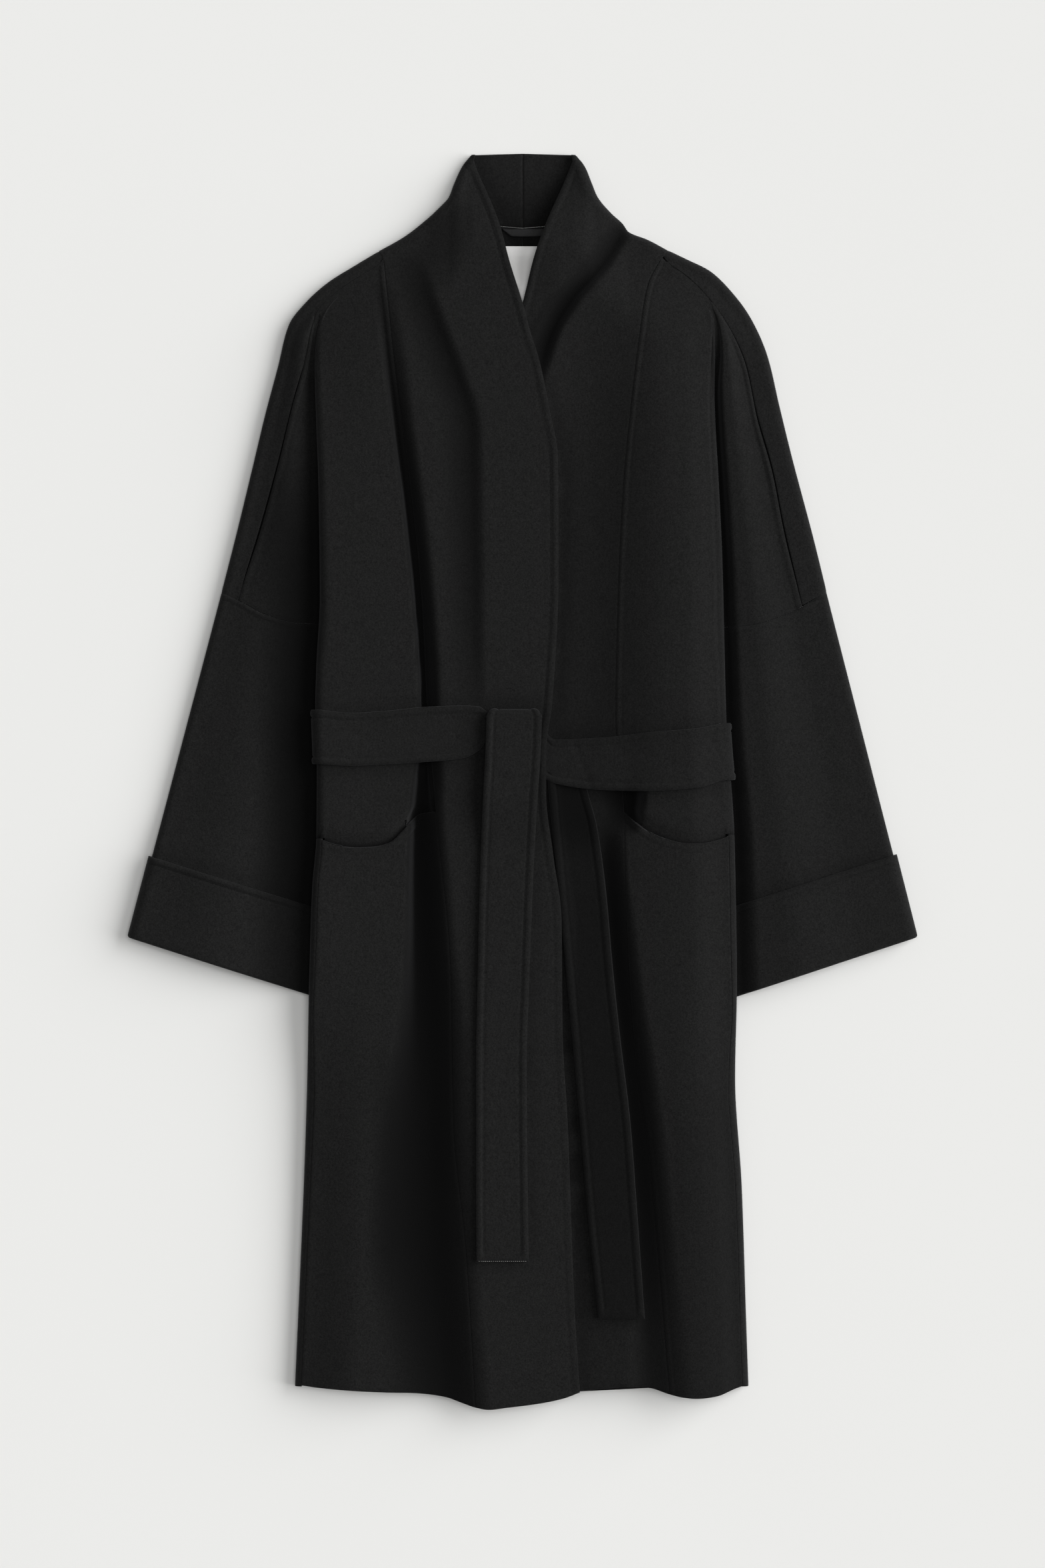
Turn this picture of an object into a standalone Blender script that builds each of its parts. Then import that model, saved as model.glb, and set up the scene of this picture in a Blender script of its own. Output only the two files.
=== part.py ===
import bmesh
import bpy
import numpy as np

for old in list(bpy.data.objects):
    bpy.data.objects.remove(old, do_unlink=True)

# Shawl collar coat laid on its back. Sizes are in millimetres and turned to metres where the meshes are made.
# x runs to the viewer's right, y to the collar, z up from the surface the coat lies on.
# Each half is drawn in a, the distance outwards from the middle, and y.
# The wearer's right half is the viewer's left one and laps over the other.
MM = 0.001
CLOTH = 2.2
BELT_THICK = 3.4
SEAM_GAP = 0.4
LAYER_GAP = 0.45
COLLAR_ROLL = 7.0
SHOULDER_ROLL = 5.5
TIP_ROLL = 2.5
ARM_ROLL = 5.5
SHOULDER_RUN = 95.0
SIDE_RUN = 60.0
UNDERARM_Y = 150.0
UNDERARM_TUCK = 28.0
ARM_FOLD_TOP = 462.0
ARM_FOLD_FULL = 372.0
PLEAT_TURN = 2.2
POCKET_SIDE_Y = -51.5
POCKET_BACKING_Y = -86.0
SIDE_SEAM_TURN = 163.0
NECK_Y = 541.0
COLLAR_TOP_Y = 612.5
SLEEVE_BULGE = 6.0
CUFF_STEP = 3.5
CUFF_RETURN = 12.0
BELT_BACK_WIDTH = 53.0
BELT_BACK_Y = 36.4
BELT_BACK_SLOPE = -0.0354
LABEL_WIDTH = 64.0
LABEL_TOP = 523.0
LABEL_BOTTOM = 460.0
LABEL_THICK = 0.8
LOOP_THICK = 1.2
CENTRE_GAP = 0.2
ARM_START = 0.008
POCKET_GAP = 1.7
SLEEVE_GAP = 0.9
KNOT_LIFT = 7.8
BELT_OFF = CLOTH / 2.0 + LAYER_GAP + BELT_THICK / 2.0

WOOL = (0.0105, 0.0105, 0.0110)
TAPE = (0.0070, 0.0070, 0.0075)
SATIN = (0.780, 0.775, 0.760)

# Steps of the meshes: levels down the panel seams, shares across the panels, and turns round the folds.
SEAM_LEVELS = (498, 481, 462, 440, 414, 384, 350, 310, 270, 230, 190, 150, 116, 84, 62, 44, 24, 2, -29, -56,
               -90, -130, -175, -222, -262, -305, -352, -402, -452, -502, -552)
COLLAR_STEPS = np.array([1.0, 0.88, 0.76, 0.64, 0.53, 0.42, 0.32, 0.21, 0.1, 0.0])
NECK_STEP = 5
COLLAR_COLUMNS = 6
WING_COLUMNS = 6
ROLL_ANGLES = (36, 72, 108, 144, 180)
BODY_STEPS = np.array([0.0, 0.07, 0.14, 0.21, 0.29, 0.4, 0.55, 0.7, 0.85, 1.0])
SIDE_TURNS = np.radians([36, 72, 108, 144, 180])
PLEAT_TURNS = np.radians([45, 90, 135, 180])
ARM_STEPS = np.array([0.2, 0.4, 0.6, 0.8, 1.0])
BELT_ROWS = (46.0, 29.0, 0.0, -29.0, -46.0)
BACK_STEPS = np.array([0.0, 0.35, 0.7, 0.78, 0.86, 0.93, 1.0])
RING = {"bottom": 5, "outer": 4, "top": 8, "inner": 3}

# Height of the cloth over the surface, a row for each level down the coat.
LOFT = {
    "y": (520.0, 440.0, 350.0, 200.0, 100.0, 44.0, -10.0, -150.0, -300.0, -450.0, -600.0),
    "middle": (28.0, 28.0, 29.0, 30.0, 29.0, 26.0, 28.0, 28.5, 27.0, 27.0, 28.0),
    "side": (18.0, 20.0, 27.0, 29.5, 29.5, 28.5, 29.0, 29.5, 20.0, 16.5, 16.0),
}
SIDE_LOW = {
    "y": (462.0, 400.0, 300.0, 200.0, 150.0, 105.0, -222.0, -262.0, -305.0),
    "z": (13.0, 13.5, 14.6, 13.8, 12.2, 15.5, 15.5, 8.0, 1.1),
}
BACK_LIFT = {
    "y": (270.0, 150.0, 105.0, -222.0, -262.0, -305.0),
    "z": (0.0, 4.2, 14.4, 14.4, 6.9, 0.0),
}
SLEEVE_LOW = {
    "y": (452.0, 300.0, 150.0, 100.0, 60.0, 0.0, -215.0),
    "z": (12.0, 10.2, 7.8, 8.2, 8.2, 8.2, 8.2),
}

# The sides, each outline a run of (a, y) read off the coat.
RIGHT = {
    "sign": -1.0,
    "arm_edge": ((138, 518), (163, 503), (190, 486), (211, 467), (227, 446), (238, 404), (250, 359),
                 (262, 309), (277, 247), (293, 184)),
    "collar_edge": ((49, 612), (58, 600), (66, 583), (71, 570), (79, 561), (99, 543), (115, 531), (138, 518)),
    "front_edge": ((49, 612), (46, 601), (34, 573), (23, 545), (12, 505), (0, 467), (-8, 437), (-16, 412),
                   (-27, 359), (-34.5, 316), (-35, 203), (-29, 78), (-23, 28), (-23, -11), (-30, -72),
                   (-38, -134), (-39, -242), (-44, -334), (-51, -519), (-56, -595)),
    "panel_seam": ((136, 512), (130, 459), (125, 412), (118, 359), (110, 297), (97.5, 172), (93, 78),
                   (84, -29), (70, -180), (67, -334), (55, -457), (45.5, -610)),
    "body_side": ((199.5, 451), (201.5, 404), (200, 346), (198, 291), (196.6, 180), (200, 112), (201, 72),
                  (199.5, 14), (200, -54), (204, -103), (207, -195), (209, -288), (212, -381),
                  (216.5, -488), (221, -588)),
    "overarm": ((139.5, 505), (186, 474), (202, 456), (214.5, 404), (222, 379), (239, 312), (257, 247),
                (272, 197), (277, 177)),
    "sleeve_seam": ((172, 150), (202, 154), (220, 155), (251.5, 163.5), (277, 177), (293, 184)),
    "mouth": ((200, -55), (184, -61), (162.5, -64), (144, -63), (129, -59), (118, -49), (108.5, -39),
              (101, -32), (84, -29)),
    "hem": ((221, -588), (200, -591), (138, -595), (107, -596), (76, -600), (58, -606), (45.5, -610),
            (33, -612), (15, -610), (-16, -606), (-40, -601), (-56, -595)),
    "cuff_top": ((363, -74), (175, -126)),
    "cuff_end": ((386, -152), (175, -215)),
}
LEFT = {
    "sign": 1.0,
    "arm_edge": ((139, 519), (160, 509), (182, 498), (203, 478), (222, 452), (238, 416), (250, 366),
                 (261, 321), (284, 234), (296, 185)),
    "collar_edge": ((51, 612), (60, 600), (67, 583), (72, 571), (86, 554), (97, 544), (103, 536), (122, 528),
                    (139, 519)),
    "front_edge": ((51, 612), (47.5, 602), (39, 581), (24, 547), (12, 514), (0.5, 468), (-8, 437), (-18, 405),
                   (-27, 352), (-31, 297), (-32, 200), (-32, 110), (-32, 60), (-34, -100), (-34, -300),
                   (-30, -596)),
    "panel_seam": ((136, 512), (122, 484), (113, 428), (105, 359), (99, 297), (93, 172), (91, 63),
                   (99, -30), (101, -103), (111, -273), (123.5, -365), (143.5, -597)),
    "body_side": ((181, 455), (184.6, 437), (186.6, 359), (190, 297), (193.7, 219), (195.7, 141), (197.6, 63),
                  (203.5, -17), (205.4, -48), (206.7, -103), (208, -195), (206.5, -288), (213, -395),
                  (217.6, -534), (219.5, -588)),
    "overarm": ((141, 506), (160, 493), (174, 480), (200, 445.6), (218, 408), (229, 358.5), (244, 306),
                (255.5, 248), (267, 198.6), (273, 172)),
    "sleeve_seam": ((168, 150), (203, 151), (226, 153.5), (244, 158.5), (261, 165), (278, 174), (296, 185)),
    "mouth": ((206, -51), (201, -55.6), (188.5, -60), (173, -62), (157, -61), (139, -56), (122, -48),
              (111, -40), (99, -30)),
    "hem": ((219.5, -588), (207, -592), (188.5, -599), (170, -601), (157, -600), (143.5, -597), (123.5, -591),
            (102, -590), (77, -592), (58, -594), (0, -596), (-30, -596)),
    "cuff_top": ((365, -72), (177, -140)),
    "cuff_end": ((386, -152), (177, -217)),
}

# Folds: for each level y, where the trough lies, its run outwards and inwards, and its depth.
RIGHT_FOLDS = (
    {
        "y": (485, 400, 297, 172, 95, 44, 5, -32, -103, -180, -257, -334, -457, -600),
        "at": (142, 132, 116, 104, 99, 97, 102, 99, 92, 84, 83, 82, 72, 62),
        "out": (16, 16, 14, 13, 12, 13, 20, 22, 28, 36, 52, 66, 95, 110),
        "in": (10, 11, 10, 10, 10, 10, 15, 16, 16, 16, 16, 16, 16, 17),
        "deep": (0, 3, 8, 11, 12, 9, 13, 13, 12, 12, 12, 12, 12, 12),
    },
    {
        "y": (516, 495, 453, 421, 359, 203, 78, 30),
        "at": (107, 98, 80, 58, 48, 48, 49, 49),
        "out": (18, 18, 18, 17, 16, 16, 16, 16),
        "in": (12, 12, 12, 10, 10, 10, 10, 10),
        "deep": (0, 2, 3, 3.5, 3.5, 3, 3, 0),
    },
)
LEFT_FOLDS = (
    {
        "y": (548, 536, 515, 455, 403, 375),
        "at": (108, 101, 84, 40, 16, 10),
        "out": (18, 18, 22, 24, 22, 20),
        "in": (12, 12, 13, 14, 14, 14),
        "deep": (0, 4, 7, 6, 4, 0),
    },
    {
        "y": (420, 350, 200, 95, 44, 20),
        "at": (72, 70, 70, 72, 74, 74),
        "out": (34, 36, 38, 36, 36, 36),
        "in": (30, 30, 30, 28, 28, 28),
        "deep": (0, 3, 4.5, 5, 3, 0),
    },
    {
        "y": (30, 0, -18, -32, -46),
        "at": (116, 115, 114, 112, 110),
        "out": (17, 17, 17, 17, 17),
        "in": (13, 13, 13, 12, 12),
        "deep": (0, 8, 9, 5, 0),
    },
    {
        "y": (-30, -75, -103, -180, -273, -365, -457, -600),
        "at": (94, 93, 93, 97, 103, 115, 121, 134),
        "out": (14, 15, 15, 16, 16, 17, 17, 18),
        "in": (20, 22, 24, 26, 26, 26, 26, 30),
        "deep": (0, 9, 12, 12, 12, 12, 12, 12),
    },
)

# The belt: edges of the front stretches along x, edges of the hanging ends along y.
BELT_RIGHT = {
    "x": (-30, -36, -42, -58, -98, -132, -168, -202, -215),
    "top": (64, 69, 73, 74, 72.5, 69, 67, 70, 70),
    "bottom": (42, 38, 31, 23, 19, 17, 15.5, 17, 17),
}
BELT_LEFT = {
    "x": (14, 20, 31, 77, 123, 170, 201, 215),
    "top": (52, 50, 41, 43, 48, 52, 57, 57),
    "bottom": (6, 4, -1.6, -8, -9, -6, 1.6, 1.6),
}
END_OVER = {
    "y": (69, 35, -26, -103, -195, -273, -395, -467),
    "low_x": (-35, -36, -39, -42, -44, -45.5, -45.5, -45),
    "high_x": (19, 18, 14, 10, 6.5, 4, 5, 6),
}
END_UNDER = {
    "y": (22, -2, -42, -103, -180, -242, -334, -427, -523),
    "low_x": (22, 25, 28.6, 34.5, 42, 48, 56, 64, 74),
    "high_x": (60, 62, 72, 80.6, 87.5, 94, 105, 112, 119),
}
LOOP_TAPE = {
    "x": (-19, -10, 4, 18, 27),
    "top": (540, 539.6, 539.8, 540, 540),
    "bottom": (539, 532.6, 532.2, 532.6, 532.6),
    "lift": (0, 1.2, 2.4, 1.4, 0),
}


def smooth(t):
    t = np.clip(t, 0.0, 1.0)
    return t * t * (3.0 - 2.0 * t)


def fit(knots, values):
    """Cubic through the rows of a table with no overshoot, level beyond both ends."""
    x = np.asarray(knots, float)
    v = np.asarray(values, float)
    if x[0] > x[-1]:
        x = x[::-1]
        v = v[::-1]
    h = np.diff(x)
    slope = np.diff(v) / h
    m = np.zeros_like(v)
    m[0] = slope[0]
    m[-1] = slope[-1]
    for i in range(1, len(x) - 1):
        if slope[i - 1] * slope[i] > 0.0:
            before = 2.0 * h[i] + h[i - 1]
            after = h[i] + 2.0 * h[i - 1]
            m[i] = (before + after) / (before / slope[i - 1] + after / slope[i])

    def at(q):
        q = np.clip(np.asarray(q, float), x[0], x[-1])
        i = np.clip(np.searchsorted(x, q) - 1, 0, len(x) - 2)
        t = (q - x[i]) / h[i]
        a = (1.0 + 2.0 * t) * (1.0 - t) ** 2
        b = t * (1.0 - t) ** 2
        c = t * t * (3.0 - 2.0 * t)
        d = t * t * (t - 1.0)
        return a * v[i] + b * h[i] * m[i] + c * v[i + 1] + d * h[i] * m[i + 1]

    return at


def run(points):
    """A smooth run through points, from 0 at the first to 1 at the last."""
    p = np.asarray(points, float)
    length = np.concatenate([[0.0], np.cumsum(np.hypot(*np.diff(p, axis=0).T))])
    length /= length[-1]
    fa = fit(length, p[:, 0])
    fy = fit(length, p[:, 1])

    def at(t):
        return np.stack([fa(t), fy(t)], axis=-1)

    return at


def across(points):
    """y as a function of a, for points in either order."""
    p = sorted(points)
    return fit([q[0] for q in p], [q[1] for q in p])


def down(points):
    """a as a function of y, for points from top to bottom."""
    return fit([q[1] for q in points], [q[0] for q in points])


def outward(curve, t):
    """Unit direction square to a run, away from the middle and up."""
    d = curve(np.clip(t + 0.02, 0, 1)) - curve(np.clip(t - 0.02, 0, 1))
    n = np.stack([-d[..., 1], d[..., 0]], axis=-1)
    n /= np.linalg.norm(n, axis=-1, keepdims=True)
    return np.where((n[..., :1] + n[..., 1:]) < 0.0, -n, n)


def fold_table(rows):
    parts = {k: fit(rows["y"], rows[k]) for k in ("at", "out", "in", "deep")}
    ends = (min(rows["y"]), max(rows["y"]))
    closed_low = rows["deep"][-1] == 0

    def depth(a, y):
        off = a - parts["at"](y)
        t = np.where(off > 0.0, off / parts["out"](y), off / parts["in"](y))
        shape = 0.5 + 0.5 * np.cos(np.pi * np.clip(t, -1.0, 1.0))
        inside = (y < ends[1]) & ((y > ends[0]) | (not closed_low))
        return np.where(inside, parts["deep"](y) * shape, 0.0)

    return depth


loft_middle = fit(LOFT["y"], LOFT["middle"])
loft_side = fit(LOFT["y"], LOFT["side"])
side_low = fit(SIDE_LOW["y"], SIDE_LOW["z"])
back_lift = fit(BACK_LIFT["y"], BACK_LIFT["z"])
sleeve_low = fit(SLEEVE_LOW["y"], SLEEVE_LOW["z"])


def make_side(table, folds):
    s = {"sign": table["sign"]}
    for name in ("arm_edge", "collar_edge", "front_edge", "overarm"):
        s[name] = run(table[name])
    s["seam_a"] = down(table["panel_seam"])
    s["side_a"] = down(table["body_side"])
    s["edge_a"] = down(table["front_edge"])
    s["mouth_y"] = across(table["mouth"])
    s["hem_y"] = across(table["hem"])
    s["seam_y"] = across(table["sleeve_seam"])
    s["skyline"] = across(table["collar_edge"] + table["arm_edge"][1:])
    s["folds"] = [fold_table(rows) for rows in folds]
    for name in ("cuff_top", "cuff_end"):
        s[name] = np.asarray(table[name], float)
    s["arm_end"] = np.asarray(table["arm_edge"][-1], float)
    return s


right = make_side(RIGHT, RIGHT_FOLDS)
left = make_side(LEFT, LEFT_FOLDS)


def inner_a(s, y):
    """Where the cloth turned under at the body side ends."""
    return s["side_a"](y) - UNDERARM_TUCK * smooth((ARM_FOLD_TOP - y) / 240.0)


def back_height(s, a, y):
    x = s["sign"] * a
    off = np.abs(y - BELT_BACK_Y - BELT_BACK_SLOPE * x) - BELT_BACK_WIDTH / 2.0 - 1.5
    over_belt = (BELT_THICK + LAYER_GAP) * (1.0 - smooth(off / 16.0))
    edge = inner_a(s, y)
    inside = 1.0 - smooth((edge - a) / 46.0)
    open_arm = smooth((y - UNDERARM_Y + 30.0) / 30.0)
    outside = 1.0 - open_arm * smooth((a - edge) / 30.0)
    ramp = back_lift(y) * np.where(a < edge, inside, outside)
    return CLOTH / 2.0 + np.maximum(over_belt * (1.0 - inside * (y < UNDERARM_Y)), ramp)


def rim_roll(a):
    """Radius of the roll over the shoulder and the neck, tight at the collar's top corner."""
    roll = SHOULDER_ROLL + (COLLAR_ROLL - SHOULDER_ROLL) * (1.0 - smooth((a - 72.0) / 24.0))
    return TIP_ROLL + (roll - TIP_ROLL) * smooth((a - 46.0) / 20.0)


def plain_height(s, a, y):
    """The front without its troughs."""
    drop = s["skyline"](np.maximum(a, 40.0)) - y
    edge = CLOTH / 2.0 + 2.0 * rim_roll(a)
    z = edge + (loft_middle(y) - edge) * smooth(drop / SHOULDER_RUN)
    near = 1.0 - smooth((s["side_a"](y) - a) / SIDE_RUN)
    return z + (loft_side(y) - z) * near * smooth((ARM_FOLD_TOP - y) / 90.0)


def roll_of(s, y):
    return (loft_side(y) - side_low(y)) / 2.0


def own_height(s, a, y):
    z = plain_height(s, a, y)
    for fold in s["folds"]:
        z = z - fold(a, y)
    layers = 2.0 if s["sign"] < 0.0 else 1.0
    low = back_height(s, a, y) + layers * (CLOTH + 1.0)
    z = 0.5 * (z + low + np.sqrt((z - low) ** 2 + 3.0))
    r = roll_of(s, y)
    t = np.clip((a - s["side_a"](y) + r) / r, 0.0, 0.98)
    middle = side_low(y) + r
    return np.where(y < 400.0, middle + (z - middle) * np.sqrt(1.0 - t * t), z)


def front_height(s, a, y):
    z = own_height(s, a, y)
    if s["sign"] > 0.0:
        over = own_height(right, -a, y) - CLOTH - 0.9
        past = a + right["edge_a"](y)
        under = 1.0 - smooth((past - 8.0) / 42.0)
        z = z - under * np.maximum(0.0, z - over)
    return z


def field(height, a, y, lift=0.0):
    """Points of a surface given by its height, with its normals, moved out by lift."""
    e = 1.5
    da = (height(a + e, y) - height(a - e, y)) / (2.0 * e)
    dy = (height(a, y + e) - height(a, y - e)) / (2.0 * e)
    n = np.stack([-da, -dy, np.ones_like(da)], axis=-1)
    n /= np.linalg.norm(n, axis=-1, keepdims=True)
    p = np.stack([a, y, height(a, y)], axis=-1)
    return p + n * np.asarray(lift)[..., None], n


def spread(top, bottom, first, last):
    """A grid of rows between four edges that meet at their corners."""
    nu = len(top)
    nv = len(first)
    u = chord(top)
    v = chord(first)
    v2 = chord(last)
    grid = np.zeros((nv, nu, 2))
    for j in range(nv):
        w = v[j] + (v2[j] - v[j]) * u
        across_row = first[j] + (last[j] - first[j]) * u[:, None]
        along = top + (bottom - top) * w[:, None]
        corner_top = top[0] + (top[-1] - top[0]) * u[:, None]
        corner_low = bottom[0] + (bottom[-1] - bottom[0]) * u[:, None]
        grid[j] = across_row + along - (corner_top + (corner_low - corner_top) * w[:, None])
    return grid


def chord(points):
    d = np.concatenate([[0.0], np.cumsum(np.linalg.norm(np.diff(points, axis=0), axis=1))])
    return d / d[-1]


def normals(grid, like):
    """Normals of a grid, turned to the side that like gives at its first corner."""
    du = np.gradient(grid, axis=1)
    dv = np.gradient(grid, axis=0)
    n = np.cross(du, dv)
    n /= np.maximum(np.linalg.norm(n, axis=-1, keepdims=True), 1e-9)
    return n if np.dot(n[0, 0], like) > 0.0 else -n


def material(name, colour, roughness):
    m = bpy.data.materials.new(name)
    m.use_nodes = True
    bsdf = m.node_tree.nodes["Principled BSDF"]
    bsdf.inputs["Base Color"].default_value = (*colour, 1.0)
    bsdf.inputs["Roughness"].default_value = roughness
    bsdf.inputs["Metallic"].default_value = 0.0
    m.diffuse_color = (*colour, 1.0)
    return m


def sheet(name, patches, thick, look, sign=1.0):
    """A sheet of cloth: the patches joined at their shared edges, then thickened both ways."""
    bm = bmesh.new()
    way = bm.verts.layers.float_vector.new("way")
    found = {}
    for points, dirs in patches:
        rows, cols = points.shape[:2]
        ids = [[None] * cols for _ in range(rows)]
        for j in range(rows):
            for i in range(cols):
                p = points[j, i] * (sign, 1.0, 1.0)
                n = dirs[j, i] * (sign, 1.0, 1.0)
                key = tuple(np.round(p / 0.02).astype(int))
                if key not in found:
                    found[key] = bm.verts.new(p * MM)
                    found[key][way] = (0.0, 0.0, 0.0)
                vert = found[key]
                vert[way] = tuple(np.asarray(vert[way]) + n)
                ids[j][i] = vert
        for j in range(rows - 1):
            for i in range(cols - 1):
                corners = []
                for vert in (ids[j][i], ids[j][i + 1], ids[j + 1][i + 1], ids[j + 1][i]):
                    if vert not in corners:
                        corners.append(vert)
                if len(corners) > 2:
                    bm.faces.new(corners)
    half = thick * MM / 2.0
    for vert in bm.verts:
        n = np.asarray(vert[way])
        n /= np.linalg.norm(n)
        vert[way] = tuple(n)
        vert.co.x -= n[0] * half
        vert.co.y -= n[1] * half
        vert.co.z -= n[2] * half
    grown = bmesh.ops.extrude_face_region(bm, geom=bm.faces[:], use_keep_orig=True)
    for item in grown["geom"]:
        if isinstance(item, bmesh.types.BMVert):
            n = item[way]
            item.co.x += n[0] * 2.0 * half
            item.co.y += n[1] * 2.0 * half
            item.co.z += n[2] * 2.0 * half
    bm.verts.layers.float_vector.remove(way)
    bmesh.ops.recalc_face_normals(bm, faces=bm.faces[:])
    mesh = bpy.data.meshes.new(name)
    bm.to_mesh(mesh)
    bm.free()
    mesh.materials.append(look)
    piece = bpy.data.objects.new(name, mesh)
    coat.objects.link(piece)
    return piece


def seam_levels(top, low):
    """Levels shared by the rows on both sides of a panel seam."""
    levels = [y for y in SEAM_LEVELS if low + 6.0 < y < top - 6.0]
    return np.array([top, *levels, low])


def collar_rim(s):
    """Start of the roll over the shoulder and the neck, at each step of the collar edge."""
    t = COLLAR_STEPS
    edge = s["collar_edge"](t)
    tip = (1.0 - smooth(t / 0.15))[:, None]
    n = outward(s["collar_edge"], t) * (1.0 - tip) + np.array([1.0, 0.0]) * tip
    n /= np.linalg.norm(n, axis=-1, keepdims=True)
    radius = rim_roll(edge[:, 0])
    return edge - n * radius[:, None], n, radius


def seam_line(s, levels, gap):
    return np.stack([s["seam_a"](levels) + gap, levels], axis=-1)


def front_panel(s, name):
    rim, out, radius = collar_rim(s)
    low = float(s["hem_y"](s["seam_a"](-600.0)))
    levels = seam_levels(float(rim[0, 1]), low)
    first = seam_line(s, levels, -SEAM_GAP / 2.0)
    first[0] = rim[0]
    steps = chord(first)
    last = s["front_edge"](steps)
    last[0] = rim[-1]
    low_a = np.linspace(first[-1, 0], last[-1, 0], len(rim))
    bottom = np.stack([low_a, s["hem_y"](low_a)], axis=-1)
    first[-1] = bottom[0]
    last[-1] = bottom[-1]
    grid = spread(rim, bottom, first, last)
    top = field(lambda a, y: front_height(s, a, y), grid[..., 0], grid[..., 1])
    start = top[0][0].copy()
    base = np.concatenate([rim, np.full((len(rim), 1), CLOTH / 2.0)], axis=-1)
    rows = [start]
    ways = [top[1][0]]
    for angle in ROLL_ANGLES[:-1]:
        turn = np.radians(angle)
        middle = (start[:, 2] + base[:, 2]) / 2.0
        half = (start[:, 2] - base[:, 2]) / 2.0
        flat = rim + out * (radius * np.sin(turn))[:, None]
        rows.append(np.concatenate([flat, (middle + half * np.cos(turn))[:, None]], axis=-1))
        ways.append(np.concatenate([out * np.sin(turn), np.full((len(rim), 1), np.cos(turn))], axis=-1))
    rows.append(base)
    ways.append(np.tile((0.0, 0.0, -1.0), (len(rim), 1)))
    roll = np.array(rows), np.array(ways)
    return sheet(name, [top, roll], CLOTH, wool, s["sign"])


def collar_back(s, name):
    """Half of the collar behind the neck, from the foot of the collar's roll to the centre back."""
    rim, out, radius = collar_rim(s)
    neck = (rim - out * SEAM_GAP)[NECK_STEP:]
    centre_y = np.linspace(NECK_Y, COLLAR_TOP_Y, len(neck))
    centre = np.stack([np.full(len(neck), CENTRE_GAP), centre_y], axis=-1)
    f = np.linspace(0.0, 1.0, COLLAR_COLUMNS)[:, None]
    neck_seam = neck[0] + (centre[0] - neck[0]) * f
    neck_seam[:, 1] -= 4.0 * np.sin(np.pi * f[:, 0])
    rim_top = neck[-1] + (centre[-1] - neck[-1]) * f
    flat = spread(neck, centre, neck_seam, rim_top)
    behind = np.concatenate([flat, np.full((*flat.shape[:2], 1), CLOTH / 2.0)], axis=-1)
    behind_way = np.zeros_like(behind)
    behind_way[..., 2] = -1.0
    return sheet(name, [(behind, behind_way)], CLOTH, wool, s["sign"])


def under_shift(s, a, y):
    """How far the side front is let in behind the pocket mouth."""
    depth = smooth((s["mouth_y"](a) + 16.0 - y) / 15.0)
    return -(CLOTH + POCKET_GAP) * depth


def sleeve_top(s, a, y, outer):
    """Height of the sleeve's upper layer between the body side and the arm edge."""
    start = s["side_a"](y) + 4.0
    t = np.clip((a - start) / np.maximum(outer - start, 1.0), 0.0, 1.0)
    low = sleeve_low(y)
    high = CLOTH / 2.0 + 2.0 * ARM_ROLL
    return low + (high - low) * smooth(t * 1.4) + SLEEVE_BULGE * np.sin(np.pi * t) ** 1.5


def arm_rows(s, levels):
    """Points of the arm edge and of the overarm seam at the side front's levels."""
    top = levels[0]
    t = (top - levels) / (top - UNDERARM_Y)
    return s["arm_edge"](ARM_START + (1.0 - ARM_START) * t), s["overarm"](0.004 + 0.996 * t), t


def arm_height(s, flat, levels, outer, reach):
    """Height of the strip between the arm edge's roll and the overarm seam."""
    low = CLOTH / 2.0 + 2.0 * ARM_ROLL
    z_arm = sleeve_top(s, flat[:, 0], flat[:, 1], outer)
    z_body = front_height(s, flat[:, 0], flat[:, 1])
    z = z_body + (z_arm - z_body) * arm_blend(levels)
    return low + (z - low) * smooth(reach / 12.0)


def arm_blend(y):
    return smooth((ARM_FOLD_TOP - y) / (ARM_FOLD_TOP - ARM_FOLD_FULL))


def side_section(s, y, over):
    """One level of a side front: body, roll, turn-under, pleat and upper arm."""
    seam = float(s["seam_a"](y)) + SEAM_GAP / 2.0
    side = float(s["side_a"](y))
    tuck = float(inner_a(s, y))
    r = float(roll_of(s, y))
    shift = 0.0
    low = float(side_low(y))
    if y < 0.0:
        a_edge = np.array([side - r])
        shift = float(under_shift(s, a_edge, np.array([y]))[0])
        r = r + shift / 2.0
    body_a = seam + (side - r - seam) * BODY_STEPS
    points = [(a, None) for a in body_a]
    for turn in SIDE_TURNS:
        points.append((side - r + r * np.sin(turn), low + r + r * np.cos(turn)))
    points.append((tuck + 0.45 * (side - r - tuck), low))
    points.append((tuck + PLEAT_TURN, low))
    if over is not None:
        gap = (low - float(sleeve_low(y))) / 2.0
        for turn in PLEAT_TURNS:
            points.append((tuck + PLEAT_TURN - PLEAT_TURN * np.sin(turn), low - gap + gap * np.cos(turn)))
        for f in ARM_STEPS:
            points.append((tuck + PLEAT_TURN + (over[0] - tuck - PLEAT_TURN) * f, None))
    return points


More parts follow.
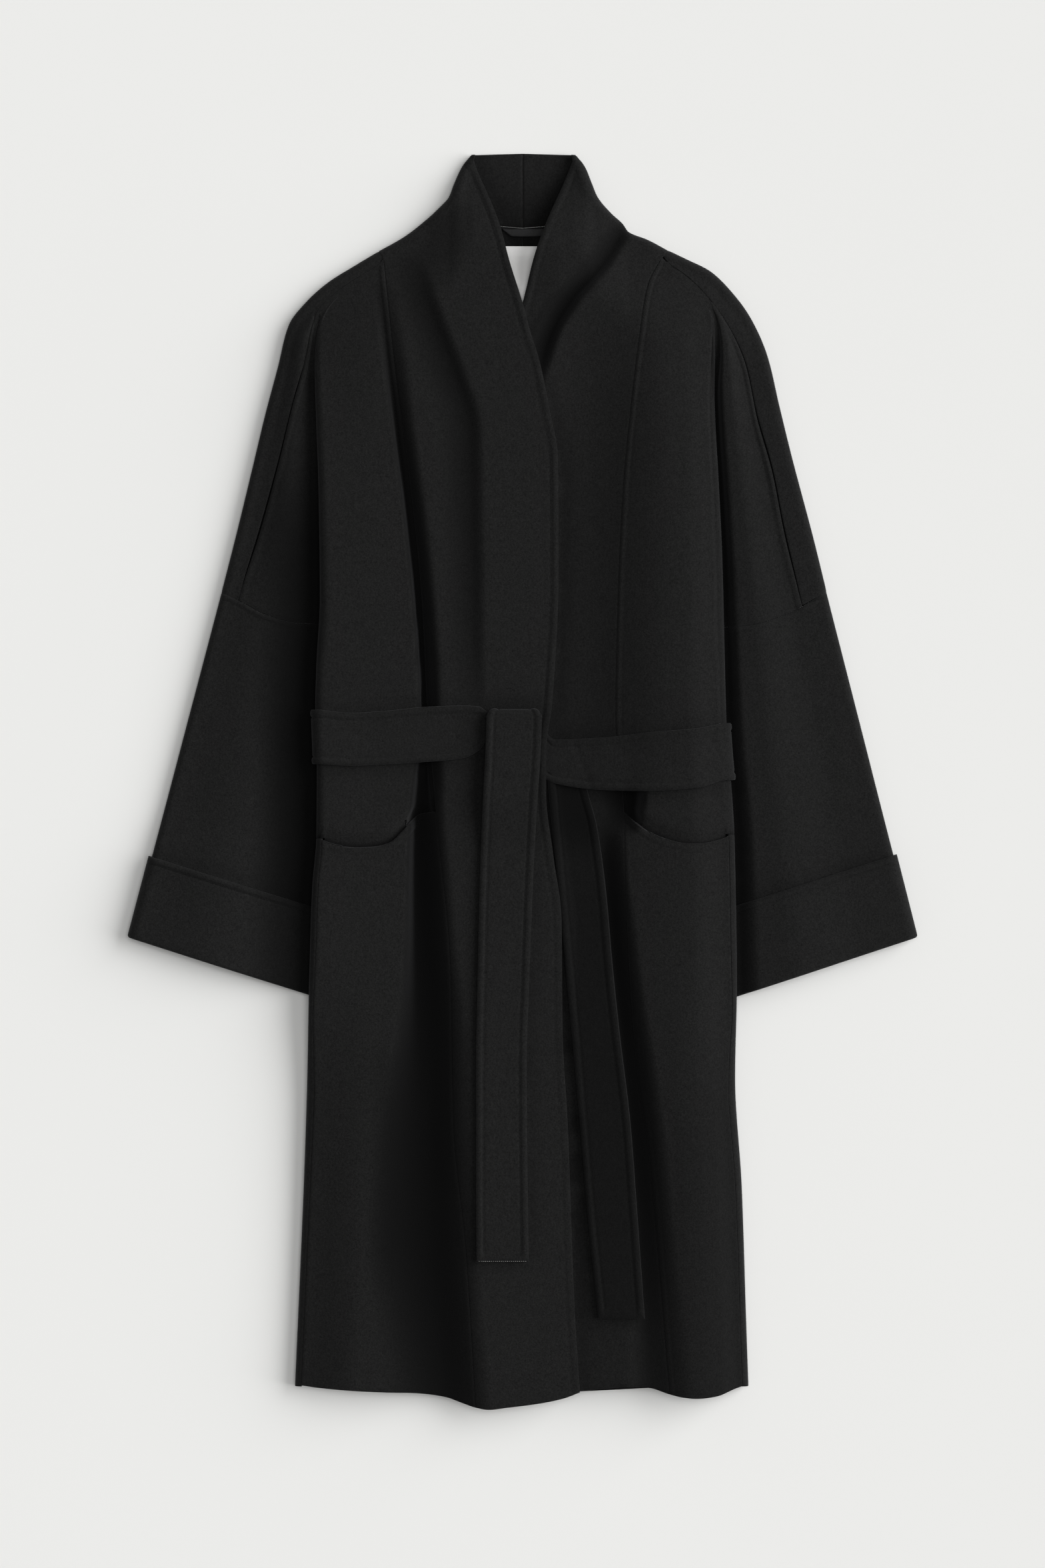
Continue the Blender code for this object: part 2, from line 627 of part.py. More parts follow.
def side_front(s, name):
    top_y = float(collar_rim(s)[0][0, 1]) - 1.5
    levels = seam_levels(top_y, POCKET_SIDE_Y)
    upper = levels[levels >= UNDERARM_Y - 0.1]
    edge, over, t = arm_rows(s, upper)
    n_body = len(BODY_STEPS)
    n_under = n_body + len(SIDE_TURNS) + 2
    rows = []
    for j, y in enumerate(levels):
        with_arm = j < len(upper)
        section = side_section(s, y, over[j] if with_arm else None)
        a = np.array([p[0] for p in section], float)
        row_y = np.full(len(a), y)
        body = np.arange(len(a)) < n_body
        z = np.array([0.0 if p[1] is None else p[1] for p in section])
        z[body] = front_height(s, a[body], row_y[body])
        if with_arm:
            outer = edge[j, 0] - ARM_ROLL
            f = np.clip((a - a[n_under - 1]) / (over[j, 0] - a[n_under - 1]), 0.0, 1.0)
            arm = np.arange(len(a)) >= n_under
            line = y + (over[j, 1] - y) * f
            end_line = UNDERARM_Y + (over[-1, 1] - UNDERARM_Y) * f
            sag = (s["seam_y"](a) - end_line) * t[j] ** 2
            row_y = np.where(arm, line + sag, row_y)
            last = np.arange(len(a)) >= len(a) - len(ARM_STEPS)
            z[last] = sleeve_top(s, a[last], row_y[last], outer)
            weight = float(arm_blend(y))
            seam = a[0]
            share = np.clip((float(s["side_a"](y)) - seam) / (over[j, 0] - seam), 0.45, 0.9)
            n_fold = len(a) - n_body - len(ARM_STEPS)
            even = np.concatenate([
                share * BODY_STEPS,
                share + (1.0 - share) * 0.45 * np.arange(1, n_fold + 1) / n_fold,
                share + (1.0 - share) * (0.45 + 0.55 * ARM_STEPS),
            ])
            flat_a = seam + (over[j, 0] - seam) * even
            flat_y = y + (over[j, 1] - y) * even
            flat_z = front_height(s, flat_a, flat_y)
            a = flat_a + (a - flat_a) * weight
            row_y = flat_y + (row_y - flat_y) * weight
            z = flat_z + (z - flat_z) * weight
            out = outward(s["arm_edge"], np.array([ARM_START + (1.0 - ARM_START) * t[j]]))[0]
            reach = np.linalg.norm(over[j] - edge[j] + out * ARM_ROLL)
            end = arm_height(s, over[j:j + 1], upper[j:j + 1], edge[j:j + 1, 0] - ARM_ROLL, np.array([reach]))
            part = np.clip((a - a[0]) / (over[j, 0] - a[0]), 0.0, 1.0)
            part = np.where(np.arange(len(a)) < n_body, part * (1.0 - weight), part)
            part[n_body:len(a) - len(ARM_STEPS)] *= 1.0 - weight
            z = z + (end[0] - z[-1]) * smooth((part - 0.7) / 0.3)
        rows.append(np.stack([a, row_y, z], axis=-1))
    main = np.array([row[:n_under] for row in rows])
    sleeve = np.array([row[n_under - 1:] for row in rows[: len(upper)]])
    full = np.array(rows[: len(upper)])
    full_way = normals(full, (0.0, 0.0, 1.0))
    main_way = normals(main, (0.0, 0.0, 1.0))
    main_way[: len(upper)] = full_way[:, :n_under]
    sleeve_way = full_way[:, n_under - 1:]
    body = main[:, :n_body]
    shift = under_shift(s, body[..., 0], body[..., 1])
    placed, way = field(lambda a, y: front_height(s, a, y), body[..., 0], body[..., 1], shift)
    plain = (main[:, 0, 1] < ARM_FOLD_FULL)
    main[plain, :n_body - 1] = placed[plain, :-1]
    main_way[plain, :n_body - 1] = way[plain, :-1]
    main_way[:, 0] = way[:, 0]
    backing_y = np.linspace(POCKET_SIDE_Y, POCKET_BACKING_Y, 4)
    grid = np.zeros((len(backing_y), n_body - 1, 2))
    for j, y in enumerate(backing_y):
        seam = float(s["seam_a"](y)) + SEAM_GAP / 2.0
        shrink = BODY_STEPS[:-1] / BODY_STEPS[-2]
        grid[j, :, 0] = seam + (main[-1, n_body - 2, 0] - seam) * shrink
        grid[j, :, 1] = y
    shift = under_shift(s, grid[..., 0], grid[..., 1])
    backing = field(lambda a, y: front_height(s, a, y), grid[..., 0], grid[..., 1], shift)
    backing[0][0] = main[-1, : n_body - 1]
    return sheet(name, [(main, main_way), (sleeve, sleeve_way), backing], CLOTH, wool, s["sign"])


def skirt_panel(s, name):
    low = float(s["hem_y"](s["seam_a"](-600.0)))
    start = float(s["mouth_y"](s["seam_a"](-29.0)))
    levels = seam_levels(start, low)
    first = seam_line(s, levels, SEAM_GAP / 2.0)
    side_y = levels.copy()
    side_y[0] = float(s["mouth_y"](230.0)) - 0.5
    side_y[1] = 0.5 * (side_y[0] + side_y[2])
    side_y[-1] = -586.0
    r = roll_of(s, side_y)
    turn = np.radians(SIDE_SEAM_TURN)
    last = np.stack([s["side_a"](side_y) - r + r * np.sin(turn) - SEAM_GAP, side_y], axis=-1)
    bias = BODY_STEPS
    top_a = first[0, 0] + (last[0, 0] - first[0, 0]) * bias
    top = np.stack([top_a, s["mouth_y"](top_a)], axis=-1)
    low_a = first[-1, 0] + (last[-1, 0] - first[-1, 0]) * bias
    bottom = np.stack([low_a, s["hem_y"](low_a)], axis=-1)
    first[0] = top[0]
    first[-1] = bottom[0]
    last[0] = top[-1]
    last[-1] = bottom[-1]
    grid = spread(top, bottom, first, last)
    return sheet(name, [field(lambda a, y: front_height(s, a, y), grid[..., 0], grid[..., 1])], CLOTH, wool,
                 s["sign"])


def flat_grid(s, grid):
    points, way = field(lambda a, y: back_height(s, a, y), grid[..., 0], grid[..., 1])
    return points, -way


def back_panel(s, name):
    rim, out, radius = collar_rim(s)
    gap = SEAM_GAP + 0.3
    f = np.linspace(0.0, 1.0, 4)
    neck_a = CENTRE_GAP + (rim[NECK_STEP, 0] - CENTRE_GAP) * f
    neck_y = NECK_Y + (rim[NECK_STEP, 1] - NECK_Y) * f - 4.0 * np.sin(np.pi * f) - gap
    neck = np.stack([neck_a, neck_y], axis=-1)
    shoulder = (rim - out * gap)[NECK_STEP - 1:1:-1]
    top = np.concatenate([neck, shoulder])
    cols = len(top)
    over_levels = seam_levels(float(rim[0, 1]) - 1.5, POCKET_SIDE_Y)
    over_levels = over_levels[over_levels >= UNDERARM_Y - 0.1]
    rows = len(over_levels)
    levels = (over_levels - UNDERARM_Y) / (over_levels[0] - UNDERARM_Y)
    centre = np.stack([np.full(rows, CENTRE_GAP), UNDERARM_Y + (top[0, 1] - UNDERARM_Y) * levels], axis=-1)
    corner = np.array([float(inner_a(s, UNDERARM_Y)) - 0.2, UNDERARM_Y])
    split = corner + (top[-1] - corner) * levels[:, None]
    low_a = CENTRE_GAP + (corner[0] - CENTRE_GAP) * BACK_STEPS
    low = np.stack([low_a, np.full(cols, UNDERARM_Y)], axis=-1)
    chest = spread(top, low, centre, split)
    arm, over, t = arm_rows(s, over_levels)
    arm_out = outward(s["arm_edge"], ARM_START + (1.0 - ARM_START) * t)
    arm_in = arm - arm_out * ARM_ROLL
    arm_in[0] -= arm_out[0] * gap
    arm_top = np.concatenate([[top[-1]], (rim - out * gap)[1:2], [arm_in[0]]])
    arm_top = np.stack([
        np.interp(np.linspace(0, 1, WING_COLUMNS), chord(arm_top), arm_top[:, 0]),
        np.interp(np.linspace(0, 1, WING_COLUMNS), chord(arm_top), arm_top[:, 1]),
    ], axis=-1)
    arm_a = np.linspace(corner[0], arm_in[-1, 0], WING_COLUMNS)
    arm_low = np.stack([arm_a, s["seam_y"](arm_a)], axis=-1)
    arm_low[0] = corner
    arm_in[-1] = arm_low[-1]
    wing = spread(arm_top, arm_low, split, arm_in)
    patches = [flat_grid(s, chest), flat_grid(s, wing)]
    start = patches[1][0][:, -1]
    strip = [start]
    ways = [np.tile((0.0, 0.0, -1.0), (rows, 1))]
    for turn in np.radians([45, 90, 135, 180]):
        flat = arm_in + arm_out * (ARM_ROLL * np.sin(turn))
        z = start[:, 2] + ARM_ROLL * (1.0 - np.cos(turn))
        strip.append(np.concatenate([flat, z[:, None]], axis=-1))
        ways.append(np.concatenate([arm_out * np.sin(turn), np.full((rows, 1), -np.cos(turn))], axis=-1))
    roll_end = strip[-1]
    aim = over - roll_end[:, :2]
    length = np.linalg.norm(aim, axis=1, keepdims=True)
    seam_gap = SEAM_GAP * (2.2 + 6.5 * (1.0 - smooth(t / 0.12)))
    stop = over - aim / np.maximum(length, 0.1) * np.minimum(seam_gap[:, None], 0.7 * length)
    for f in (0.5, 1.0):
        flat = roll_end[:, :2] + (stop - roll_end[:, :2]) * f
        z = arm_height(s, flat, over_levels, arm[:, 0] - ARM_ROLL, length[:, 0] * f)
        strip.append(np.concatenate([flat, z[:, None]], axis=-1))
        ways.append(np.tile((0.0, 0.0, 1.0), (rows, 1)))
    strip = np.array(strip)
    ways = np.array(ways)
    flap = strip[4:]
    ways[5:] = normals(flap, (0.0, 0.0, 1.0))[1:]
    patches.append((strip, ways))
    side_levels = [POCKET_SIDE_Y - 0.5]
    side_levels += [y for y in SEAM_LEVELS if y < POCKET_SIDE_Y - 5.0]
    low_levels = np.array([UNDERARM_Y, 128.0, 105.0, *(BELT_BACK_Y + h for h in BELT_ROWS), -29.0,
                           *side_levels, -590.0])
    edge = inner_a(s, low_levels) - 0.2
    body = np.zeros((len(low_levels), cols, 2))
    for j, y in enumerate(low_levels):
        body[j, :, 0] = CENTRE_GAP + (edge[j] - CENTRE_GAP) * BACK_STEPS
        lean = BELT_BACK_SLOPE if abs(y - BELT_BACK_Y) < 50.0 else 0.0
        body[j, :, 1] = y + lean * s["sign"] * body[j, :, 0]
    body[0] = chest[-1]
    body[-1, :, 1] = -597.0 + 7.0 * smooth(body[-1, :, 0] / 200.0)
    patches.append(flat_grid(s, body))
    first_side = list(low_levels).index(POCKET_SIDE_Y - 0.5)
    side_y = low_levels[first_side:]
    inner = patches[-1][0][first_side:, -1]
    side_rows = []
    side_ways = []
    for j, y in enumerate(side_y):
        r = float(roll_of(s, y))
        edge_a = float(s["side_a"](y)) - r
        low_z = float(side_low(y))
        row = [inner[j], (0.5 * (inner[j, 0] + edge_a), inner[j, 1], low_z), (edge_a, inner[j, 1], low_z)]
        way = [(0.0, 0.0, -1.0)] * 3
        for turn in np.radians(np.linspace(0.0, SIDE_SEAM_TURN, 6)[1:]):
            row.append((edge_a + r * np.sin(turn), inner[j, 1], low_z + r - r * np.cos(turn)))
            way.append((np.sin(turn), 0.0, -np.cos(turn)))
        side_rows.append(row)
        side_ways.append(way)
    patches.append((np.array(side_rows), np.array(side_ways)))
    return sheet(name, patches, CLOTH, wool, s["sign"])


def arm_seam(s, a):
    """The sleeve seam, carried on round the outer roll square to the arm edge."""
    out = outward(s["arm_edge"], np.array([1.0]))[0]
    start = s["arm_end"][0] - out[0] * ARM_ROLL
    return s["seam_y"](np.minimum(a, start)) + np.maximum(a - start, 0.0) * out[1] / out[0]


def sleeve_ring(s, v, spread_out):
    """A level of the flattened sleeve, from the sleeve seam at 0 to the cuff end at 1."""
    top_in = np.array([float(inner_a(s, UNDERARM_Y)) + 0.9, UNDERARM_Y - SLEEVE_GAP])
    top_out = s["arm_end"] - (0.0, SLEEVE_GAP)
    mouth_out = s["cuff_end"][0] - np.array([CUFF_STEP + CLOTH / 2.0, 0.0])
    mouth_in = np.array([float(inner_a(s, s["cuff_end"][1][1])) + 0.9 + CUFF_STEP, s["cuff_end"][1][1]])
    outer = top_out + (mouth_out - top_out) * v
    inner = top_in + (mouth_in - top_in) * v
    span = outer - inner
    width = np.linalg.norm(span)
    span = span / width
    lift = CUFF_STEP * smooth((v - 0.60) / 0.16)
    base = CLOTH / 2.0 + lift
    mid_y = 0.5 * (outer[1] + inner[1])
    low = max(float(sleeve_low(mid_y)), base + 3.6)
    ri = (low - base) / 2.0
    ro = ARM_ROLL
    q = []
    z = []
    nq = []
    nz = []
    for f in np.linspace(0.0, 1.0, RING["bottom"]):
        q.append(ri + (width - ro - ri) * f)
        z.append(base)
        nq.append(0.0)
        nz.append(-1.0)
    for turn in np.linspace(0.0, np.pi, RING["outer"] + 2)[1:-1]:
        q.append(width - ro + ro * np.sin(turn))
        z.append(base + ro - ro * np.cos(turn))
        nq.append(np.sin(turn))
        nz.append(-np.cos(turn))
    body = float(s["side_a"](mid_y)) + 5.0
    knee = np.clip((body - inner[0]) / max(span[0], 0.2), ri, width - ro - 20.0)
    top_z = base + 2.0 * ro
    for f in np.linspace(1.0, 0.0, RING["top"]):
        here = ri + (width - ro - ri) * f
        t = np.clip((here - knee) / (width - ro - knee), 0.0, 1.0)
        q.append(here)
        rise = (top_z - low) * smooth(t * 1.4) + SLEEVE_BULGE * np.sin(np.pi * t) ** 1.5
        z.append(low + rise)
        nq.append(0.0)
        nz.append(1.0)
    for turn in np.linspace(0.0, np.pi, RING["inner"] + 2)[1:-1]:
        q.append(ri - ri * np.sin(turn))
        z.append(base + ri + ri * np.cos(turn))
        nq.append(-np.sin(turn))
        nz.append(np.cos(turn))
    q = np.array(q)
    z = np.array(z)
    nq = np.array(nq)
    nz = np.array(nz)
    first_top = RING["bottom"] + RING["outer"]
    tops = slice(first_top, first_top + RING["top"])
    slope = np.gradient(z[tops], q[tops])
    nq[tops] = -slope / np.sqrt(1.0 + slope * slope)
    nz[tops] = 1.0 / np.sqrt(1.0 + slope * slope)
    q = q + nq * spread_out
    z = z + nz * spread_out
    flat = inner + span * q[:, None]
    start = top_in + (top_out - top_in) * (q / width)[:, None]
    sag = (arm_seam(s, start[:, 0]) - SLEEVE_GAP - start[:, 1]) * (1.0 - smooth(v / 0.5))
    flat[:, 1] = flat[:, 1] + sag
    points = np.concatenate([flat, z[:, None]], axis=-1)
    way = np.concatenate([span * nq[:, None], nz[:, None]], axis=-1)
    return np.concatenate([points, points[:1]]), np.concatenate([way, way[:1]])


def sleeve_length(s):
    return float(np.linalg.norm(s["cuff_end"][0] - s["arm_end"]))


def sleeve(s, name):
    end = 1.0 - (CUFF_RETURN + SEAM_GAP) / sleeve_length(s)
    rings = [sleeve_ring(s, v, 0.0) for v in np.linspace(0.0, end, 8)]
    patch = np.array([r[0] for r in rings]), np.array([r[1] for r in rings])
    return sheet(name, [patch], CLOTH, wool, s["sign"])


def cuff(s, name):
    length = sleeve_length(s)
    top_v = 1.0 - np.linalg.norm(s["cuff_end"][0] - s["cuff_top"][0]) / length
    half = CUFF_STEP / 2.0
    rows = []
    ways = []
    for v in np.linspace(top_v, 1.0 - half / length, 4):
        ring, way = sleeve_ring(s, v, CUFF_STEP)
        rows.append(ring)
        ways.append(way)
    axis = s["cuff_end"][0] - s["arm_end"]
    axis = np.array([axis[0], axis[1], 0.0]) / np.linalg.norm(axis)
    for turn in np.radians([45, 90, 135]):
        v = 1.0 - half / length + half * np.sin(turn) / length
        ring, way = sleeve_ring(s, v, half + half * np.cos(turn))
        rows.append(ring)
        ways.append(way * np.cos(turn) + axis * np.sin(turn))
    for v in (1.0 - half / length, 1.0 - CUFF_RETURN / length):
        ring, way = sleeve_ring(s, v, 0.0)
        rows.append(ring)
        ways.append(-way)
    return sheet(name, [(np.array(rows), np.array(ways))], CLOTH, wool, s["sign"])


def belt_stretch(s, name, table, knot_layer):
    top = fit(table["x"], table["top"])
    bottom = fit(table["x"], table["bottom"])
    sign = s["sign"]
    inner = sign * table["x"][0]
    across_steps = np.linspace(0.0, 1.0, 4)
    side_y = np.linspace(float(bottom(sign * 202.0)), float(top(sign * 202.0)), 4)
    r = roll_of(s, side_y)
    side = s["side_a"](side_y)
    rows = []
    for f in np.linspace(0.0, 1.0, 11):
        a = inner + (side - r - inner) * f
        y = bottom(sign * a) + (top(sign * a) - bottom(sign * a)) * across_steps
        z = plain_height(s, a, y) + BELT_OFF + knot_layer * (1.0 - smooth((a - 70.0) / 40.0))
        rows.append(np.stack([a, y, z], axis=-1))
    big = r + BELT_OFF
    centre = side_low(side_y) + r
    for turn in np.radians([30, 60, 90, 120, 150, 180]):
        rows.append(np.stack([side - r + big * np.sin(turn), side_y, centre + big * np.cos(turn)], axis=-1))
    low = side_low(side_y) - BELT_OFF
    for f in (0.5, 1.0):
        end = inner_a(s, side_y) + 3.0
        rows.append(np.stack([side - r + (end - side + r) * f, side_y, low], axis=-1))
    grid = np.array(rows)
    return sheet(name, [(grid, normals(grid, (0.0, 0.0, 1.0)))], BELT_THICK, wool, sign)


def belt_back(name):
    rows = []
    low_edge = {}
    for s, table in ((right, BELT_RIGHT), (left, BELT_LEFT)):
        top = fit(table["x"], table["top"])
        bottom = fit(table["x"], table["bottom"])
        y = np.linspace(float(bottom(s["sign"] * 202.0)), float(top(s["sign"] * 202.0)), 4)
        low_edge[s["sign"]] = inner_a(s, y) + 3.0 - SEAM_GAP, y
    for s, steps in ((right, (1.015, *BACK_STEPS[::-1])), (left, (*BACK_STEPS[1:], 1.015))):
        edge, edge_y = low_edge[s["sign"]]
        for f in steps:
            a = (inner_a(s, edge_y) - 0.2) * f
            if f > 1.0:
                a = edge
            flat_y = BELT_BACK_Y + BELT_BACK_SLOPE * s["sign"] * a
            flat_y = flat_y + np.linspace(-0.5, 0.5, 4) * BELT_BACK_WIDTH
            y = flat_y + (edge_y - flat_y) * smooth((f - 0.4) / 0.6)
            z = np.maximum(back_height(s, a, y) - BELT_OFF, BELT_THICK / 2.0)
            rows.append(np.stack([s["sign"] * a, y, z], axis=-1))
    grid = np.array(rows)
    return sheet(name, [(grid, normals(grid, (0.0, 0.0, 1.0)))], BELT_THICK, wool)


def end_over(name):
    low_x = fit(END_OVER["y"], END_OVER["low_x"])
    high_x = fit(END_OVER["y"], END_OVER["high_x"])
    steps = np.linspace(0.0, 1.0, 5)
    rows = []
    turn_y = 64.0
    half = KNOT_LIFT / 2.0

    def row(y, inset, extra, y_at):
        x = low_x(y_at) + inset + (high_x(y_at) - low_x(y_at) - 2.0 * inset) * steps
        z = plain_height(right, -x, np.full(5, y)) + BELT_OFF + extra
        return np.stack([x, np.full(5, y), z], axis=-1)

    for y in (40.0, 54.0, turn_y):
        rows.append(row(y, 9.0, 0.0, turn_y))
    level = rows[-1][:, 2].copy()
    for turn, inset in ((45, 7.5), (90, 5.0), (135, 2.5)):
        angle = np.radians(turn)
        r = row(turn_y + (half + 1.0) * np.sin(angle), inset, 0.0, turn_y)
        r[:, 2] = level + half - half * np.cos(angle)
        rows.append(r)
    for y in (turn_y, 50, 30, 10, -12, -36, -64, -103, -150, -200, -260, -320, -380, -430, -467):
        lift = KNOT_LIFT * smooth((y + 70.0) / 60.0)
        r = row(y, 0.0, lift, y)
        if y == turn_y:
            r[:, 2] = level + KNOT_LIFT
        rows.append(r)
    grid = np.array(rows)
    return sheet(name, [(grid, normals(grid, (0.0, 0.0, -1.0)))], BELT_THICK, wool)


def end_under(name):
    low_x = fit(END_UNDER["y"], END_UNDER["low_x"])
    high_x = fit(END_UNDER["y"], END_UNDER["high_x"])
    rows = []
    for y in (22, 8, -6, -22, -42, -70, -103, -140, -180, -242, -300, -360, -420, -475, -523):
        x = low_x(y) + (high_x(y) - low_x(y)) * np.linspace(0.0, 1.0, 5)
        level = np.full(5, float(y))
        z = plain_height(left, x, level)
        over = own_height(right, -x, level) - CLOTH - 0.9
        past = x + right["edge_a"](level)
        under = 1.0 - smooth((past - 8.0) / 42.0)
        z = z - under * np.maximum(0.0, z - over)
        z = z + (CLOTH + 0.9) * (1.0 - smooth((past - 1.0) / 15.0)) + BELT_OFF
        rows.append(np.stack([x, level, z], axis=-1))
    grid = np.array(rows)
    return sheet(name, [(grid, normals(grid, (0.0, 0.0, 1.0)))], BELT_THICK, wool)


def label(name):
    x = np.linspace(-LABEL_WIDTH / 2.0, LABEL_WIDTH / 2.0, 3)
    y = np.linspace(LABEL_TOP, LABEL_BOTTOM, 3)
    grid = np.zeros((3, 3, 3))
    grid[..., 0] = x[None, :]
    grid[..., 1] = y[:, None]
    grid[..., 2] = CLOTH + LAYER_GAP + LABEL_THICK / 2.0
    way = np.zeros_like(grid)
    way[..., 2] = 1.0
    return sheet(name, [(grid, way)], LABEL_THICK, satin)


def hanger_loop(name):
    top = np.asarray(LOOP_TAPE["top"], float)
    bottom = np.asarray(LOOP_TAPE["bottom"], float)
    rows = []
    for x, high, low, lift in zip(LOOP_TAPE["x"], top, bottom, LOOP_TAPE["lift"]):
        z = CLOTH + LAYER_GAP + LOOP_THICK / 2.0 + lift
        rows.append([(x, low, z), (x, 0.5 * (low + high), z), (x, high, z)])
    grid = np.array(rows, float)
    return sheet(name, [(grid, normals(grid, (0.0, 0.0, 1.0)))], LOOP_THICK, tape)


coat = bpy.data.collections.new("shawl_collar_coat")
bpy.context.scene.collection.children.link(coat)
wool = material("wool", WOOL, 0.92)
tape = material("tape", TAPE, 0.85)
satin = material("satin", SATIN, 0.55)

back_panel(right, "back_right")
back_panel(left, "back_left")
front_panel(left, "front_left")
front_panel(right, "front_right")
for half, word in ((right, "right"), (left, "left")):
    collar_back(half, "collar_" + word)
    side_front(half, "side_front_" + word)
    skirt_panel(half, "skirt_" + word)
    sleeve(half, "sleeve_" + word)
    cuff(half, "cuff_" + word)
belt_stretch(right, "belt_right", BELT_RIGHT, 0.0)
belt_stretch(left, "belt_left", BELT_LEFT, BELT_THICK + LAYER_GAP)
belt_back("belt_back")
end_over("belt_end_over")
end_under("belt_end_under")
hanger_loop("hanger_loop")
label("label")
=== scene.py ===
import bpy
import numpy as np
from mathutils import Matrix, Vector


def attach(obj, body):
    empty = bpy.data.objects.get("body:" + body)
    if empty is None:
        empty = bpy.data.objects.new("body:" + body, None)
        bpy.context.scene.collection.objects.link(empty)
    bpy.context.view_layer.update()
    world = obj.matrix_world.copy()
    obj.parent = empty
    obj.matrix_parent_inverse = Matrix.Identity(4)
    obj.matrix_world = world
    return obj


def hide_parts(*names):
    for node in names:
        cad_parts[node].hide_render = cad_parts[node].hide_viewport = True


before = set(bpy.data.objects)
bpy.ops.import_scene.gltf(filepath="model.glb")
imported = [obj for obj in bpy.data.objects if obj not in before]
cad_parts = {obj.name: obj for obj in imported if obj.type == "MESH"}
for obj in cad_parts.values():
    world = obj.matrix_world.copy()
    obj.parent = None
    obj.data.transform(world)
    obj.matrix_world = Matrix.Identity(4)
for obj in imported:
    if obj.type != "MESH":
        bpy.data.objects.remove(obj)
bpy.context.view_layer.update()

print("frame loaded:", len(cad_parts), "nodes")

# Sizes are in mm. x runs to the viewer's right, y to the collar, z up from the floor.
# Each half is drawn in a, the distance outwards from the middle; the viewer's left half laps over.
cloth = {"thick": 2.2, "seamGap": 0.2, "layerGap": 0.45, "edgeRound": 0.5}
edgeBand = {"wide": 7.2, "puff": 0.85, "groove": 0.75, "line": 0.9}
weltBand = {"wide": 5.6, "puff": 0.7, "groove": 0.5, "line": 0.8}
hemBand = {"wide": 8.0, "puff": 0.25, "groove": 0.2, "line": 1.2}
mouthBand = {"wide": 7.2, "puff": 0.4, "groove": 0.3, "line": 0.9}
stitch = {"every": 3.1, "long": 1.9, "wide": 0.42, "lift": 0.75, "beltLift": 1.15, "seed": 7}
areas, sewn = {}, {}


def smooth(t):
    t = np.clip(t, 0.0, 1.0)
    return t * t * (3.0 - 2.0 * t)


def fit(knots, values):  # cubic through a table's rows, no overshoot, level past both ends
    x = np.asarray(knots, float)
    v = np.asarray(values, float)
    if x[0] > x[-1]:
        x, v = x[::-1], v[::-1]
    h = np.diff(x)
    slope = np.diff(v) / h
    m = np.zeros_like(v)
    m[0], m[-1] = slope[0], slope[-1]
    for i in range(1, len(x) - 1):
        if slope[i - 1] * slope[i] > 0.0:
            before = 2.0 * h[i] + h[i - 1]
            after = h[i] + 2.0 * h[i - 1]
            m[i] = (before + after) / (before / slope[i - 1] + after / slope[i])

    def at(q):
        q = np.clip(np.asarray(q, float), x[0], x[-1])
        i = np.clip(np.searchsorted(x, q) - 1, 0, len(x) - 2)
        t = (q - x[i]) / h[i]
        start = (1.0 + 2.0 * t) * (1.0 - t) ** 2 * v[i] + t * (1.0 - t) ** 2 * h[i] * m[i]
        return start + t * t * (3.0 - 2.0 * t) * v[i + 1] + t * t * (t - 1.0) * h[i] * m[i + 1]

    return at


def chordOf(points):
    d = np.concatenate([[0.0], np.cumsum(np.linalg.norm(np.diff(points, axis=0), axis=1))])
    return d / d[-1]


def runThrough(points):
    p = np.asarray(points, float)
    steps = chordOf(p)
    along = [fit(steps, p[:, k]) for k in range(p.shape[1])]
    return lambda t: np.stack([f(t) for f in along], axis=-1)


def yAcross(points):
    p = sorted(points)
    return fit([q[0] for q in p], [q[1] for q in p])


def aDown(points):
    return fit([q[1] for q in points], [q[0] for q in points])


def outwardOf(curve, t):
    d = curve(np.clip(t + 0.02, 0, 1)) - curve(np.clip(t - 0.02, 0, 1))
    n = np.stack([-d[..., 1], d[..., 0]], axis=-1)
    n /= np.linalg.norm(n, axis=-1, keepdims=True)
    return np.where((n[..., :1] + n[..., 1:]) < 0.0, -n, n)


def spread(top, bottom, first, last):  # grid between four edges that meet at their corners
    u = chordOf(top)[None, :, None]
    w = chordOf(first)[:, None, None] * (1.0 - u) + chordOf(last)[:, None, None] * u
    sides = first[:, None] * (1.0 - u) + last[:, None] * u
    rows = top[None] * (1.0 - w) + bottom[None] * w
    cornerTop = top[0] * (1.0 - u) + top[-1] * u
    cornerLow = bottom[0] * (1.0 - u) + bottom[-1] * u
    return sides + rows - (cornerTop * (1.0 - w) + cornerLow * w)


def gridNormals(grid, like):
    n = np.cross(np.gradient(grid, axis=1), np.gradient(grid, axis=0))
    n /= np.maximum(np.linalg.norm(n, axis=-1, keepdims=True), 1e-9)
    return n if np.dot(n[0, 0], like) > 0.0 else -n


def awayFrom(line, a, y):  # distance of points from a line drawn through points
    p = np.asarray(line, float)
    best = np.full(np.shape(a), 1e9)
    for start, end in zip(p[:-1], p[1:]):
        d = end - start
        t = np.clip(((a - start[0]) * d[0] + (y - start[1]) * d[1]) / max(d @ d, 1e-9), 0.0, 1.0)
        best = np.minimum(best, np.hypot(a - start[0] - t * d[0], y - start[1] - t * d[1]))
    return best


def bandRelief(d, band):  # a rolled band beside an edge or seam, with its sewn line
    inside = np.clip(d / band["wide"], 0.0, 1.0)
    puff = band["puff"] * np.sin(np.pi * inside) ** 0.8
    return puff - band["groove"] * np.exp(-((d - band["wide"]) / band["line"]) ** 2)


